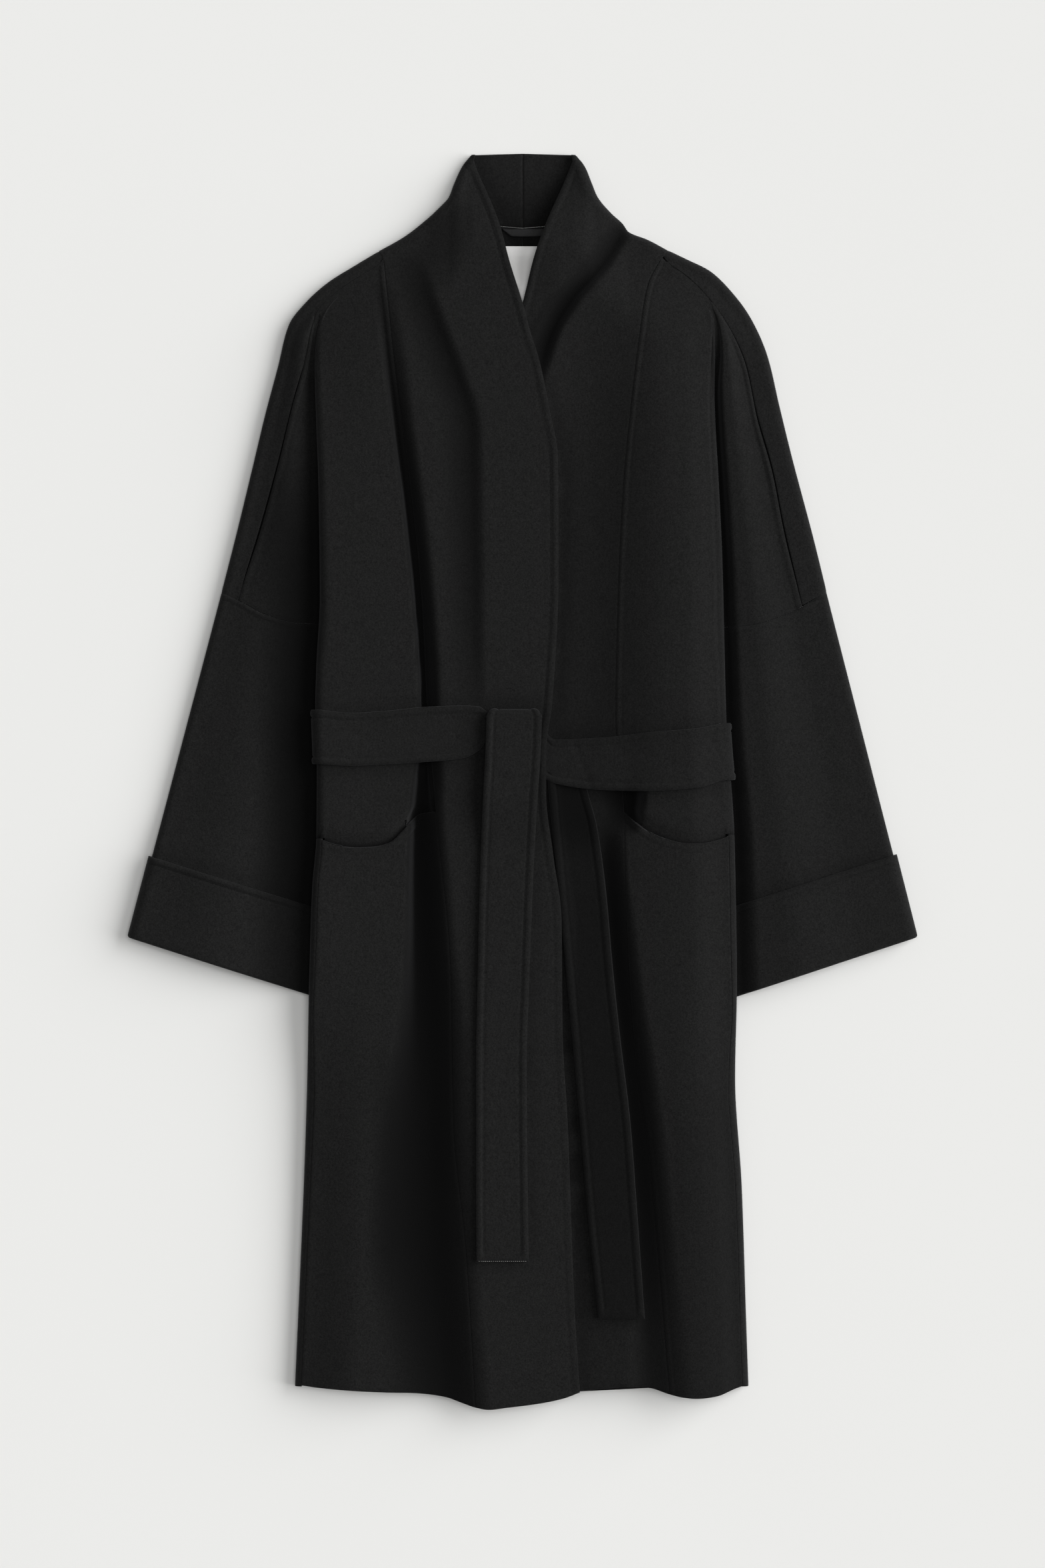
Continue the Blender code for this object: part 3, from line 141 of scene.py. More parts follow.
def columnAt(away, d):  # in each row of distances, the column where d is reached
    steps = np.arange(away.shape[1])
    return np.array([np.interp(d, *((row, steps) if row[0] < row[-1] else (row[::-1], steps[::-1])))
                     for row in away])


def sewAlong(name, grid, ways, columns, lift, sign=1.0):  # keeps a line of stitches down the rows of a grid
    rows = np.arange(len(grid))
    i = np.clip(np.floor(columns).astype(int), 0, grid.shape[1] - 2)
    f = (columns - i)[:, None]
    n = ways[rows, i] * (1.0 - f) + ways[rows, i + 1] * f
    n /= np.linalg.norm(n, axis=-1, keepdims=True)
    line = grid[rows, i] * (1.0 - f) + grid[rows, i + 1] * f + n * lift
    sewn.setdefault(name, []).append((line * (sign, 1.0, 1.0), n * (sign, 1.0, 1.0)))


def sewAcross(name, grid, ways, rows, lift, sign=1.0):
    sewAlong(name, grid.swapaxes(0, 1), ways.swapaxes(0, 1), rows, lift, sign)


def clothPiece(name, patches, thick, look, sign=1.0):
    # patches of points, directions and relief, joined at shared edges and given a wall with a round edge
    points, dirs, reliefs, quads = [], [], [], []
    offset = 0
    for patch in patches:
        p, n = patch[:2]
        rows, cols = p.shape[:2]
        ids = offset + np.arange(rows * cols).reshape(rows, cols)
        corners = [ids[:-1, :-1], ids[:-1, 1:], ids[1:, 1:], ids[1:, :-1]]
        quads.append(np.stack(corners, axis=-1).reshape(-1, 4))
        points.append(p.reshape(-1, 3))
        dirs.append(n.reshape(-1, 3))
        reliefs.append(patch[2].reshape(-1) if len(patch) > 2 else np.zeros(rows * cols))
        offset += rows * cols
    points = np.concatenate(points) * (sign, 1.0, 1.0)
    dirs = np.concatenate(dirs) * (sign, 1.0, 1.0)
    keys = np.round(points / 0.02).astype(np.int64)
    _, first, back = np.unique(keys, axis=0, return_index=True, return_inverse=True)
    back = back.reshape(-1)
    p = points[first]
    n = np.zeros_like(p)
    np.add.at(n, back, dirs)
    n /= np.maximum(np.linalg.norm(n, axis=1, keepdims=True), 1e-9)
    relief = np.bincount(back, weights=np.concatenate(reliefs)) / np.bincount(back)
    quads = back[np.concatenate(quads)]
    facing = np.cross(p[quads[:, 2]] - p[quads[:, 0]], p[quads[:, 3]] - p[quads[:, 1]])
    areas[name] = float(np.linalg.norm(facing, axis=1).sum()) / 2.0 * 1e-6
    turned = (facing * n[quads].mean(axis=1)).sum(axis=1) < 0.0
    quads[turned] = quads[turned][:, ::-1]
    faces = []
    for quad in quads.tolist():
        kept = [v for k, v in enumerate(quad) if v != quad[k - 1]]
        if len(set(kept)) == len(kept) and len(kept) > 2:
            faces.append(kept)
    used = {}
    for face in faces:
        for k, v in enumerate(face):
            used[(face[k - 1], v)] = True
    rim = [(v, w) for v, w in used if (w, v) not in used]
    out = np.zeros_like(p)
    for v, w in rim:
        side = np.cross(p[w] - p[v], n[v] + n[w])
        side /= max(np.linalg.norm(side), 1e-9)
        out[v] += side
        out[w] += side
    out /= np.maximum(np.linalg.norm(out, axis=1, keepdims=True), 1e-9)
    half = thick / 2.0
    ease = cloth["edgeRound"]
    top = (half + relief)[:, None]
    outer = p + n * top - out * ease
    inner = p - n * half
    soft = 1.0 - np.sqrt(0.5)
    steps = [p + n * (top - ease * soft) - out * ease * soft, p + n * (top - ease),
             p - n * (half - 0.2 * ease)]
    rimIds = sorted({v for pair in rim for v in pair})
    place = {v: k for k, v in enumerate(rimIds)}
    count = len(p)
    verts = np.concatenate([outer, inner] + [step[rimIds] for step in steps])
    allFaces = faces + [[v + count for v in reversed(face)] for face in faces]
    for v, w in rim:
        before = (v, w)
        for k in range(4):
            if k < 3:
                after = tuple(2 * count + k * len(rimIds) + place[q] for q in (v, w))
            else:
                after = (v + count, w + count)
            allFaces.append((before[1], before[0], after[0], after[1]))
            before = after
    mesh = bpy.data.meshes.new(name)
    mesh.from_pydata((verts * 0.001).tolist(), [], allFaces)
    mesh.polygons.foreach_set("use_smooth", [True] * len(mesh.polygons))
    mesh.materials.append(look)
    piece = bpy.data.objects.new(name, mesh)
    bpy.context.scene.collection.objects.link(piece)
    print("made", name, len(mesh.polygons), "faces")
    return piece


# Wool, tape and satin.
wool = {"dark": (0.0028, 0.0028, 0.0028), "light": (0.0148, 0.0149, 0.0146), "grain": 700.0, "mottle": 95.0,
        "fibre": 480.0, "roughness": 0.95, "sheen": 0.07, "sheenRoughness": 0.5, "specular": 0.15,
        "bump": 0.7, "foldShade": 2.0}
tape = {"dark": (0.0080, 0.0080, 0.0086), "light": (0.0260, 0.0260, 0.0268), "grain": 1500.0,
        "mottle": 160.0, "fibre": 800.0, "roughness": 0.7, "sheen": 0.05, "sheenRoughness": 0.5,
        "specular": 0.3, "bump": 0.3, "foldShade": 1.0}
satin = {"base": (0.88, 0.875, 0.86), "roughness": 0.42, "weave": 2600.0, "bump": 0.12}


def newMaterial(name):
    m = bpy.data.materials.new(name)
    m.use_nodes = True
    return m, m.node_tree.nodes, m.node_tree.links, m.node_tree.nodes["Principled BSDF"]


def noise(nodes, links, vector, scale, detail, roughness=0.6):
    node = nodes.new("ShaderNodeTexNoise")
    node.inputs["Scale"].default_value = scale
    node.inputs["Detail"].default_value = detail
    node.inputs["Roughness"].default_value = roughness
    links.new(vector, node.inputs["Vector"])
    return node.outputs["Fac"]


def mathNode(nodes, links, operation, first, second):
    node = nodes.new("ShaderNodeMath")
    node.operation = operation
    for socket, value in zip(node.inputs, (first, second)):
        if isinstance(value, (int, float)):
            socket.default_value = value
        else:
            links.new(value, socket)
    return node.outputs[0]


def nappedCloth(name, look):
    m, nodes, links, bsdf = newMaterial(name)
    coords = nodes.new("ShaderNodeTexCoord").outputs["Object"]
    lay = nodes.new("ShaderNodeMapping")  # the nap lies down the length of the coat
    lay.inputs["Scale"].default_value = (1.0, 0.6, 1.0)
    links.new(coords, lay.inputs["Vector"])
    grain = noise(nodes, links, coords, look["grain"], 3.0, 0.65)
    fibre = noise(nodes, links, lay.outputs["Vector"], look["fibre"], 4.0, 0.7)
    mottle = noise(nodes, links, coords, look["mottle"], 3.0, 0.55)
    mixed = mathNode(nodes, links, "ADD", mathNode(nodes, links, "MULTIPLY", grain, 0.55),
                     mathNode(nodes, links, "MULTIPLY", fibre, 0.37))
    mixed = mathNode(nodes, links, "ADD", mixed, mathNode(nodes, links, "MULTIPLY", mottle, 0.08))
    ramp = nodes.new("ShaderNodeValToRGB")
    ramp.color_ramp.elements[0].position = 0.34
    ramp.color_ramp.elements[0].color = (*look["dark"], 1.0)
    ramp.color_ramp.elements[1].position = 0.66
    ramp.color_ramp.elements[1].color = (*look["light"], 1.0)
    links.new(mixed, ramp.inputs["Fac"])
    hollow = nodes.new("ShaderNodeAttribute")  # painted shade: the colour is darker where a place lies in a fold or beside other parts
    hollow.attribute_name = "openness"
    shade = nodes.new("ShaderNodeVectorMath")
    shade.operation = "SCALE"
    links.new(ramp.outputs["Color"], shade.inputs[0])
    darker = mathNode(nodes, links, "POWER", hollow.outputs["Fac"], look["foldShade"])
    links.new(darker, shade.inputs["Scale"])
    links.new(shade.outputs["Vector"], bsdf.inputs["Base Color"])
    bsdf.inputs["Roughness"].default_value = look["roughness"]
    bsdf.inputs["Specular IOR Level"].default_value = look["specular"]
    bsdf.inputs["Sheen Weight"].default_value = look["sheen"]
    bsdf.inputs["Sheen Roughness"].default_value = look["sheenRoughness"]
    bsdf.inputs["Sheen Tint"].default_value = (0.75, 0.75, 0.78, 1.0)
    bump = nodes.new("ShaderNodeBump")
    bump.inputs["Strength"].default_value = look["bump"]
    bump.inputs["Distance"].default_value = 0.0006
    links.new(mixed, bump.inputs["Height"])
    links.new(bump.outputs["Normal"], bsdf.inputs["Normal"])
    return m


def satinCloth(name, look):
    m, nodes, links, bsdf = newMaterial(name)
    coords = nodes.new("ShaderNodeTexCoord").outputs["Object"]
    weave = nodes.new("ShaderNodeTexWave")
    weave.wave_type = "BANDS"
    weave.bands_direction = "DIAGONAL"
    weave.inputs["Scale"].default_value = look["weave"] / 4.0
    weave.inputs["Distortion"].default_value = 0.6
    links.new(coords, weave.inputs["Vector"])
    slub = noise(nodes, links, coords, 180.0, 3.0)
    ramp = nodes.new("ShaderNodeValToRGB")
    ramp.color_ramp.elements[0].color = (*(0.93 * c for c in look["base"]), 1.0)
    ramp.color_ramp.elements[1].color = (*look["base"], 1.0)
    links.new(mathNode(nodes, links, "ADD", mathNode(nodes, links, "MULTIPLY", weave.outputs["Fac"], 0.5),
                       mathNode(nodes, links, "MULTIPLY", slub, 0.5)), ramp.inputs["Fac"])
    links.new(ramp.outputs["Color"], bsdf.inputs["Base Color"])
    bsdf.inputs["Roughness"].default_value = look["roughness"]
    bsdf.inputs["Sheen Weight"].default_value = 0.1
    bump = nodes.new("ShaderNodeBump")
    bump.inputs["Strength"].default_value = look["bump"]
    bump.inputs["Distance"].default_value = 0.0003
    links.new(weave.outputs["Fac"], bump.inputs["Height"])
    links.new(bump.outputs["Normal"], bsdf.inputs["Normal"])
    return m


woolLook = nappedCloth("blackWool", wool)
tapeLook = nappedCloth("blackTape", tape)
satinLook = satinCloth("whiteSatin", satin)
print("materials made")

# The lie of the coat: heights over the floor at levels down its length.
lie = {
    "loftY": (520, 440, 350, 200, 100, 44, -10, -150, -300, -450, -600),
    "middle": (28, 28, 29, 30, 29, 26, 28, 28.5, 27, 27, 28),
    "side": (18, 20, 27, 29.5, 29.5, 28.5, 29, 29.5, 20, 16.5, 16),
    "sideLowY": (462, 400, 300, 200, 150, 105, -222, -262, -305),
    "sideLow": (13, 13.5, 14.6, 13.8, 12.2, 15.5, 15.5, 8, 1.1),
    "backLiftY": (270, 150, 105, -222, -262, -305),
    "backLift": (0, 4.2, 14.4, 14.4, 6.9, 0),
    "sleeveLowY": (452, 300, 150, 100, 60, 0, -215),
    "sleeveLow": (12, 10.2, 7.8, 8.2, 8.2, 8.2, 8.2),
    "collarRoll": 7.0, "shoulderRoll": 5.5, "tipRoll": 2.5, "armRoll": 5.5,
    "collarTo": 72.0, "collarRun": 24.0, "tipTo": 46.0, "tipRun": 20.0, "shoulderRun": 95.0,
    "sideRun": 60.0, "underarmY": 150.0, "underarmTuck": 28.0, "armFoldTop": 462.0, "armFoldFull": 372.0,
    "tuckRun": 240.0, "backRise": 46.0, "armRise": 30.0, "sideRise": 90.0, "rollTopY": 400.0,
    "layerClear": 1.0, "layerSoft": 3.0,
}
rightHalf = {
    "sign": -1.0,
    "armEdge": ((138, 518), (163, 503), (190, 486), (211, 467), (227, 446), (238, 404), (250, 359),
                (262, 309), (277, 247), (293, 184)),
    "collarEdge": ((49, 612), (58, 600), (66, 583), (71, 570), (79, 561), (99, 543), (115, 531),
                   (139.8, 516.9)),
    "frontEdge": ((49, 612), (46, 601), (34, 573), (23, 545), (12, 505), (0, 467), (-8, 437), (-16, 412),
                  (-27, 359), (-34.5, 316), (-35, 203), (-29, 78), (-23, 28), (-23, -11), (-30, -72),
                  (-38, -134), (-39, -242), (-44, -334), (-51, -519), (-56, -595)),
    "panelSeam": ((136, 512), (130, 459), (125, 412), (118, 359), (110, 297), (97.5, 172), (93, 78),
                  (84, -29), (70, -180), (67, -334), (55, -457), (45.5, -610)),
    "bodySide": ((199.5, 451), (201.5, 404), (200, 346), (198, 291), (196.6, 180), (200, 112), (201, 72),
                 (199.5, 14), (200, -54), (204, -103), (207, -195), (209, -288), (212, -381), (216.5, -488),
                 (221, -588)),
    "overarm": ((139.5, 505), (186, 474), (202, 456), (214.5, 404), (222, 379), (239, 312), (257, 247),
                (272, 197), (277, 177)),
    "sleeveSeam": ((172, 150), (202, 154), (220, 155), (251.5, 163.5), (277, 177), (293, 184)),
    "mouth": ((200, -55), (184, -61), (162.5, -64), (144, -63), (129, -59), (118, -49), (108.5, -39),
              (101, -32), (84, -29)),
    "hem": ((221, -588), (200, -591), (138, -595), (107, -596), (76, -600), (58, -606), (45.5, -610),
            (33, -612), (15, -610), (-16, -606), (-40, -601), (-56, -595)),
    "cuffTop": ((363, -74), (175, -126)),
    "cuffEnd": ((386, -152), (175, -215)),
    "dart": ((197, 174), (181, 182), (165, 191)),
    "pressed": ((43, 339), (10, 339.5), (-23, 339)),
}
leftHalf = {
    "sign": 1.0,
    "armEdge": ((139, 519), (160, 509), (182, 498), (203, 478), (222, 452), (238, 416), (250, 366),
                (261, 321), (284, 234), (296, 185)),
    "collarEdge": ((51, 612), (60, 600), (67, 583), (72, 571), (86, 554), (97, 544), (103, 536), (122, 528),
                   (140.8, 518)),
    "frontEdge": ((51, 612), (47.5, 602), (39, 581), (24, 547), (12, 514), (0.5, 468), (-8, 437),
                  (-18, 405), (-27, 352), (-31, 297), (-32, 200), (-32, 110), (-32, 60), (-34, -100),
                  (-34, -300), (-30, -596)),
    "panelSeam": ((136, 512), (122, 484), (113, 428), (105, 359), (99, 297), (93, 172), (91, 63), (99, -30),
                  (101, -103), (111, -273), (123.5, -365), (143.5, -597)),
    "bodySide": ((181, 455), (184.6, 437), (186.6, 359), (190, 297), (193.7, 219), (195.7, 141),
                 (197.6, 63), (203.5, -17), (205.4, -48), (206.7, -103), (208, -195), (206.5, -288),
                 (213, -395), (217.6, -534), (219.5, -588)),
    "overarm": ((141, 506), (160, 493), (174, 480), (200, 445.6), (218, 408), (229, 358.5), (244, 306),
                (255.5, 248), (267, 198.6), (273, 172)),
    "sleeveSeam": ((168, 150), (203, 151), (226, 153.5), (244, 158.5), (261, 165), (278, 174), (296, 185)),
    "mouth": ((206, -51), (201, -55.6), (188.5, -60), (173, -62), (157, -61), (139, -56), (122, -48),
              (111, -40), (99, -30)),
    "hem": ((219.5, -588), (207, -592), (188.5, -599), (170, -601), (157, -600), (143.5, -597),
            (123.5, -591), (102, -590), (77, -592), (58, -594), (0, -596), (-30, -596)),
    "cuffTop": ((365, -72), (177, -140)),
    "cuffEnd": ((386, -152), (177, -217)),
    "dart": ((195, 187.5), (187, 195), (178, 203)),
    "pressed": ((12, -181), (24, -182), (37, -181)),
}
# Folds: at each level y, where the trough lies, its run outwards and inwards, and its depth.
rightFolds = (
    {"y": (490, 450, 398, 346, 242, 138, 92, 44, 5, -32, -83, -160, -213, -278, -343, -473, -600),
     "at": (141, 136, 130, 124, 111, 101, 98, 98, 101, 104, 105, 104, 102, 100, 98, 92, 76),
     "out": (8, 7, 6, 5, 4.5, 4.5, 4.5, 5, 7, 8, 9, 13, 20, 34, 50, 66, 60),
     "in": (18, 19, 20, 20, 21, 20, 19, 22, 27, 30, 36, 42, 47, 50, 50, 52, 46),
     "deep": (0, 2.5, 6, 10, 14, 17, 18, 14, 20, 20, 20, 20, 20, 19, 18, 15, 11)},  # along the panel seam
    {"y": (516, 480, 450, 398, 346, 242, 138, 60), "at": (108, 98, 88, 68, 53, 51, 49, 47),
     "out": (28, 30, 34, 36, 34, 32, 28, 22), "in": (14, 14, 15, 15, 15, 15, 14, 13),
     "deep": (0, 3, 4.6, 4.8, 4.6, 4, 2.8, 0)},  # beside the front band
)
leftFolds = (
    {"y": (548, 536, 502, 468, 437, 403, 375), "at": (106, 97, 76, 46, 28, 16, 8),
     "out": (12, 12, 12, 12, 11, 12, 12), "in": (18, 22, 26, 28, 26, 24, 20),
     "deep": (0, 5, 8, 9, 9, 6, 0)},  # the collar's roll
    {"y": (36, 5, -18, -34, -52), "at": (110, 110, 109, 106, 102), "out": (14, 14, 14, 13, 12),
     "in": (26, 34, 40, 36, 26), "deep": (0, 14, 16, 11, 0)},  # the hollow under the belt
    {"y": (-30, -83, -122, -213, -278, -343, -408, -473, -523, -600),
     "at": (82, 84, 87, 95, 102, 108.5, 113.5, 118, 122, 127),
     "out": (18, 20, 22, 26, 30, 32, 34, 36, 38, 40), "in": (18, 18, 18, 15, 14, 14, 14, 15, 18, 24),
     "deep": (0, 8, 11, 12, 12, 12, 11, 9, 6.5, 5)},  # beside the hanging end
)
# The left half's wide forms: a ridge along the side, the dip that the belt lies in and a flatter low side.
leftSwell = {"y": (500, 430, 340, 200, 95, 20, -60, -180, -300, -450, -600),
             "at": (148, 153, 158, 160, 160, 161, 163, 165, 168, 172, 176),
             "out": (44, 42, 42, 42, 42, 42, 42, 42, 42, 42, 42),
             "in": (90, 95, 100, 102, 102, 102, 95, 90, 84, 76, 70),
             "deep": (0, -5, -9, -10, -10, -9, -9, -9, -8, -5, -3)}
leftSag = {"y": (470, 400, 300, 200, 95, 20, -60, -180, -300, -450, -600),
           "at": (60, 54, 46, 40, 38, 36, 26, 24, 30, 40, 50),
           "out": (80, 90, 98, 104, 104, 104, 94, 88, 84, 80, 74), "in": (60,) * 11,
           "deep": (0, 7, 12, 14, 14, 12, 13, 14, 13, 11, 8)}
leftHem = {"y": (-180, -300, -380, -450, -600), "at": (182, 183, 186, 189, 193),
           "out": (22, 22, 23, 24, 24), "in": (50,) * 5, "deep": (0, -2.5, -4.5, -5, -5)}
lap = {"gap": 0.9, "from": 8.0, "run": 42.0}
backBelt = {"wide": 53.0, "y": 36.4, "slope": -0.0354, "margin": 1.5, "run": 16.0}
belt = {"thick": 3.4, "gap": 0.8, "knotLift": 7.8, "sideX": 202.0, "knotTo": 70.0, "knotRun": 40.0,
        "underEnd": 3.0, "knotInset": 9.0}
beltOff = cloth["thick"] / 2.0 + belt["gap"] + belt["thick"] / 2.0

loftMiddle = fit(lie["loftY"], lie["middle"])
loftSide = fit(lie["loftY"], lie["side"])
sideLow = fit(lie["sideLowY"], lie["sideLow"])
backLift = fit(lie["backLiftY"], lie["backLift"])
sleeveLow = fit(lie["sleeveLowY"], lie["sleeveLow"])


def foldDepth(rows):
    parts = {k: fit(rows["y"], rows[k]) for k in ("at", "out", "in", "deep")}
    ends = (min(rows["y"]), max(rows["y"]))
    runsOn = rows["deep"][-1] != 0

    def depth(a, y):
        off = a - parts["at"](y)
        t = np.where(off > 0.0, off / parts["out"](y), off / parts["in"](y))
        shape = 0.5 + 0.5 * np.cos(np.pi * np.clip(t, -1.0, 1.0))
        return np.where((y < ends[1]) & ((y > ends[0]) | runsOn), parts["deep"](y) * shape, 0.0)

    return depth


def makeHalf(table, folds, lies=()):
    s = {"sign": table["sign"], "dart": table["dart"], "pressed": table["pressed"]}
    for name in ("armEdge", "collarEdge", "frontEdge", "overarm"):
        s[name] = runThrough(table[name])
    s["seamA"] = aDown(table["panelSeam"])
    s["sideA"] = aDown(table["bodySide"])
    s["edgeA"] = aDown(table["frontEdge"])
    s["mouthY"] = yAcross(table["mouth"])
    s["hemY"] = yAcross(table["hem"])
    s["sleeveY"] = yAcross(table["sleeveSeam"])
    s["skyline"] = yAcross(table["collarEdge"][:-1] + table["armEdge"])
    s["folds"] = [foldDepth(rows) for rows in folds]
    s["lies"] = [foldDepth(rows) for rows in lies]
    s["cuffTop"] = np.asarray(table["cuffTop"], float)
    s["cuffEnd"] = np.asarray(table["cuffEnd"], float)
    s["armEnd"] = np.asarray(table["armEdge"][-1], float)
    return s


right = makeHalf(rightHalf, rightFolds)
left = makeHalf(leftHalf, leftFolds, (leftSwell, leftSag, leftHem))


def innerA(s, y):  # where the cloth turned under at the body side ends
    return s["sideA"](y) - lie["underarmTuck"] * smooth((lie["armFoldTop"] - y) / lie["tuckRun"])


def backHeight(s, a, y):
    x = s["sign"] * a
    off = np.abs(y - backBelt["y"] - backBelt["slope"] * x) - backBelt["wide"] / 2.0 - backBelt["margin"]
    overBelt = (belt["thick"] + cloth["layerGap"]) * (1.0 - smooth(off / backBelt["run"]))
    edge = innerA(s, y)
    inside = 1.0 - smooth((edge - a) / lie["backRise"])
    openArm = smooth((y - lie["underarmY"] + lie["armRise"]) / lie["armRise"])
    outside = 1.0 - openArm * smooth((a - edge) / lie["armRise"])
    ramp = backLift(y) * np.where(a < edge, inside, outside)
    return cloth["thick"] / 2.0 + np.maximum(overBelt * (1.0 - inside * (y < lie["underarmY"])), ramp)


def rimRoll(a):  # tight at the collar's top corner
    share = 1.0 - smooth((a - lie["collarTo"]) / lie["collarRun"])
    roll = lie["shoulderRoll"] + (lie["collarRoll"] - lie["shoulderRoll"]) * share
    return lie["tipRoll"] + (roll - lie["tipRoll"]) * smooth((a - lie["tipTo"]) / lie["tipRun"])


def plainHeight(s, a, y):  # the front without its troughs
    drop = s["skyline"](np.maximum(a, 40.0)) - y
    edge = cloth["thick"] / 2.0 + 2.0 * rimRoll(a)
    z = edge + (loftMiddle(y) - edge) * smooth(drop / lie["shoulderRun"])
    near = 1.0 - smooth((s["sideA"](y) - a) / lie["sideRun"])
    z = z + (loftSide(y) - z) * near * smooth((lie["armFoldTop"] - y) / lie["sideRise"])
    return z - sum(part(a, y) for part in s["lies"])


def rollOf(y):
    return (loftSide(y) - sideLow(y)) / 2.0


def ownHeight(s, a, y):
    z = plainHeight(s, a, y)
    for fold in s["folds"]:
        z = z - fold(a, y)
    layers = 2.0 if s["sign"] < 0.0 else 1.0
    low = backHeight(s, a, y) + layers * (cloth["thick"] + lie["layerClear"])
    z = 0.5 * (z + low + np.sqrt((z - low) ** 2 + lie["layerSoft"]))
    r = rollOf(y)
    t = np.clip((a - s["sideA"](y) + r) / r, 0.0, 0.98)
    middle = sideLow(y) + r
    return np.where(y < lie["rollTopY"], middle + (z - middle) * np.sqrt(1.0 - t * t), z)


def underOver(a, y, z):  # the under front drops below the over front where they lap
    over = ownHeight(right, -a, y) - cloth["thick"] - lap["gap"]
    past = a + right["edgeA"](y)
    return z - (1.0 - smooth((past - lap["from"]) / lap["run"])) * np.maximum(0.0, z - over)


def frontHeight(s, a, y):
    z = ownHeight(s, a, y)
    return underOver(a, y, z) if s["sign"] > 0.0 else z


def fieldOf(height, a, y, lift=0.0):  # points of a height, with their normals, moved out by lift
    e = 1.0
    da = (height(a + e, y) - height(a - e, y)) / (2.0 * e)
    dy = (height(a, y + e) - height(a, y - e)) / (2.0 * e)
    n = np.stack([-da, -dy, np.ones_like(da)], axis=-1)
    n /= np.linalg.norm(n, axis=-1, keepdims=True)
    return np.stack([a, y, height(a, y)], axis=-1) + n * np.asarray(lift)[..., None], n


# Fronts with their collar halves.
frontSizes = {"rows": 236, "shoulderSteps": 42, "neckSteps": 28, "neckAt": 0.42, "rollSteps": 12,
              "collarCols": 22, "neckY": 541.0, "neckDip": 4.0, "collarTopY": 613.4, "centreGap": 0.04,
              "lowBand": 0.35, "bandFrom": -150.0, "bandRun": 190.0, "pressed": 0.22, "pressedWide": 2.0}
collarSteps = np.concatenate([np.linspace(1.0, frontSizes["neckAt"], frontSizes["shoulderSteps"]),
                              np.linspace(frontSizes["neckAt"], 0.0, frontSizes["neckSteps"])[1:]])
neckStep = frontSizes["shoulderSteps"] - 1


def collarRim(s):
    edge = s["collarEdge"](collarSteps)
    tip = (1.0 - smooth(collarSteps / 0.15))[:, None]
    n = outwardOf(s["collarEdge"], collarSteps) * (1.0 - tip) + np.array([1.0, 0.0]) * tip
    n /= np.linalg.norm(n, axis=-1, keepdims=True)
    radius = rimRoll(edge[:, 0])
    return edge - n * radius[:, None], n, radius


def frontPanel(s, name):
    rim, out, radius = collarRim(s)
    low = float(s["hemY"](s["seamA"](-600.0)))
    levels = rim[0, 1] + (low - rim[0, 1]) * np.linspace(0.0, 1.0, frontSizes["rows"])
    first = np.stack([s["seamA"](levels) - cloth["seamGap"] / 2.0, levels], axis=-1)
    first[0] = rim[0]
    last = s["frontEdge"](chordOf(first))
    last[0] = rim[-1]
    lowA = np.linspace(first[-1, 0], last[-1, 0], len(rim))
    bottom = np.stack([lowA, s["hemY"](lowA)], axis=-1)
    first[-1], last[-1] = bottom[0], bottom[-1]
    grid = spread(rim, bottom, first, last)
    a, y = grid[..., 0], grid[..., 1]
    points, ways = fieldOf(lambda p, q: frontHeight(s, p, q), a, y)
    fromEdge = awayFrom(s["frontEdge"](np.linspace(0.0, 1.0, 240)), a, y)
    low = frontSizes["lowBand"]  # the edge band is flatter below the waist
    full = smooth((y - frontSizes["bandFrom"]) / frontSizes["bandRun"])
    relief = bandRelief(fromEdge, edgeBand) * (low + (1.0 - low) * full)
    bandEnd = columnAt(fromEdge[8:-2], edgeBand["wide"])
    sewAlong(name, points[8:-2], ways[8:-2], bandEnd, stitch["lift"], s["sign"])
    relief = relief + bandRelief(y - s["hemY"](a), hemBand)
    fromPress = awayFrom(s["pressed"], a, y) / frontSizes["pressedWide"]
    relief = relief + frontSizes["pressed"] * np.exp(-fromPress ** 2)
    start = points[0].copy()
    base = np.concatenate([rim, np.full((len(rim), 1), cloth["thick"] / 2.0)], axis=-1)
    rows, turns, soft = [start], [ways[0]], [relief[0]]
    for turn in np.linspace(0.0, np.pi, frontSizes["rollSteps"] + 1)[1:]:
        middle = (start[:, 2] + base[:, 2]) / 2.0
        half = (start[:, 2] - base[:, 2]) / 2.0
        flat = rim + out * (radius * np.sin(turn))[:, None]
        rows.append(np.concatenate([flat, (middle + half * np.cos(turn))[:, None]], axis=-1))
        turns.append(np.concatenate([out * np.sin(turn), np.full((len(rim), 1), np.cos(turn))], axis=-1))
        soft.append(relief[0] * max(np.cos(turn), 0.0))
    neck = rim[neckStep:]
    gap = frontSizes["centreGap"]
    centre = np.stack([np.full(len(neck), gap),
                       np.linspace(frontSizes["neckY"], frontSizes["collarTopY"], len(neck))], axis=-1)
    f = np.linspace(0.0, 1.0, frontSizes["collarCols"])[:, None]
    neckSeam = neck[0] + (centre[0] - neck[0]) * f
    neckSeam[:, 1] -= frontSizes["neckDip"] * np.sin(np.pi * f[:, 0])
    flat = spread(neck, centre, neckSeam, neck[-1] + (centre[-1] - neck[-1]) * f)
    behind = np.concatenate([flat, np.full((*flat.shape[:2], 1), cloth["thick"] / 2.0)], axis=-1)
    down = np.zeros_like(behind)
    down[..., 2] = -1.0
    patches = [(points, ways, relief), (np.array(rows), np.array(turns), np.array(soft)), (behind, down)]
    return clothPiece(name, patches, cloth["thick"], woolLook, s["sign"])


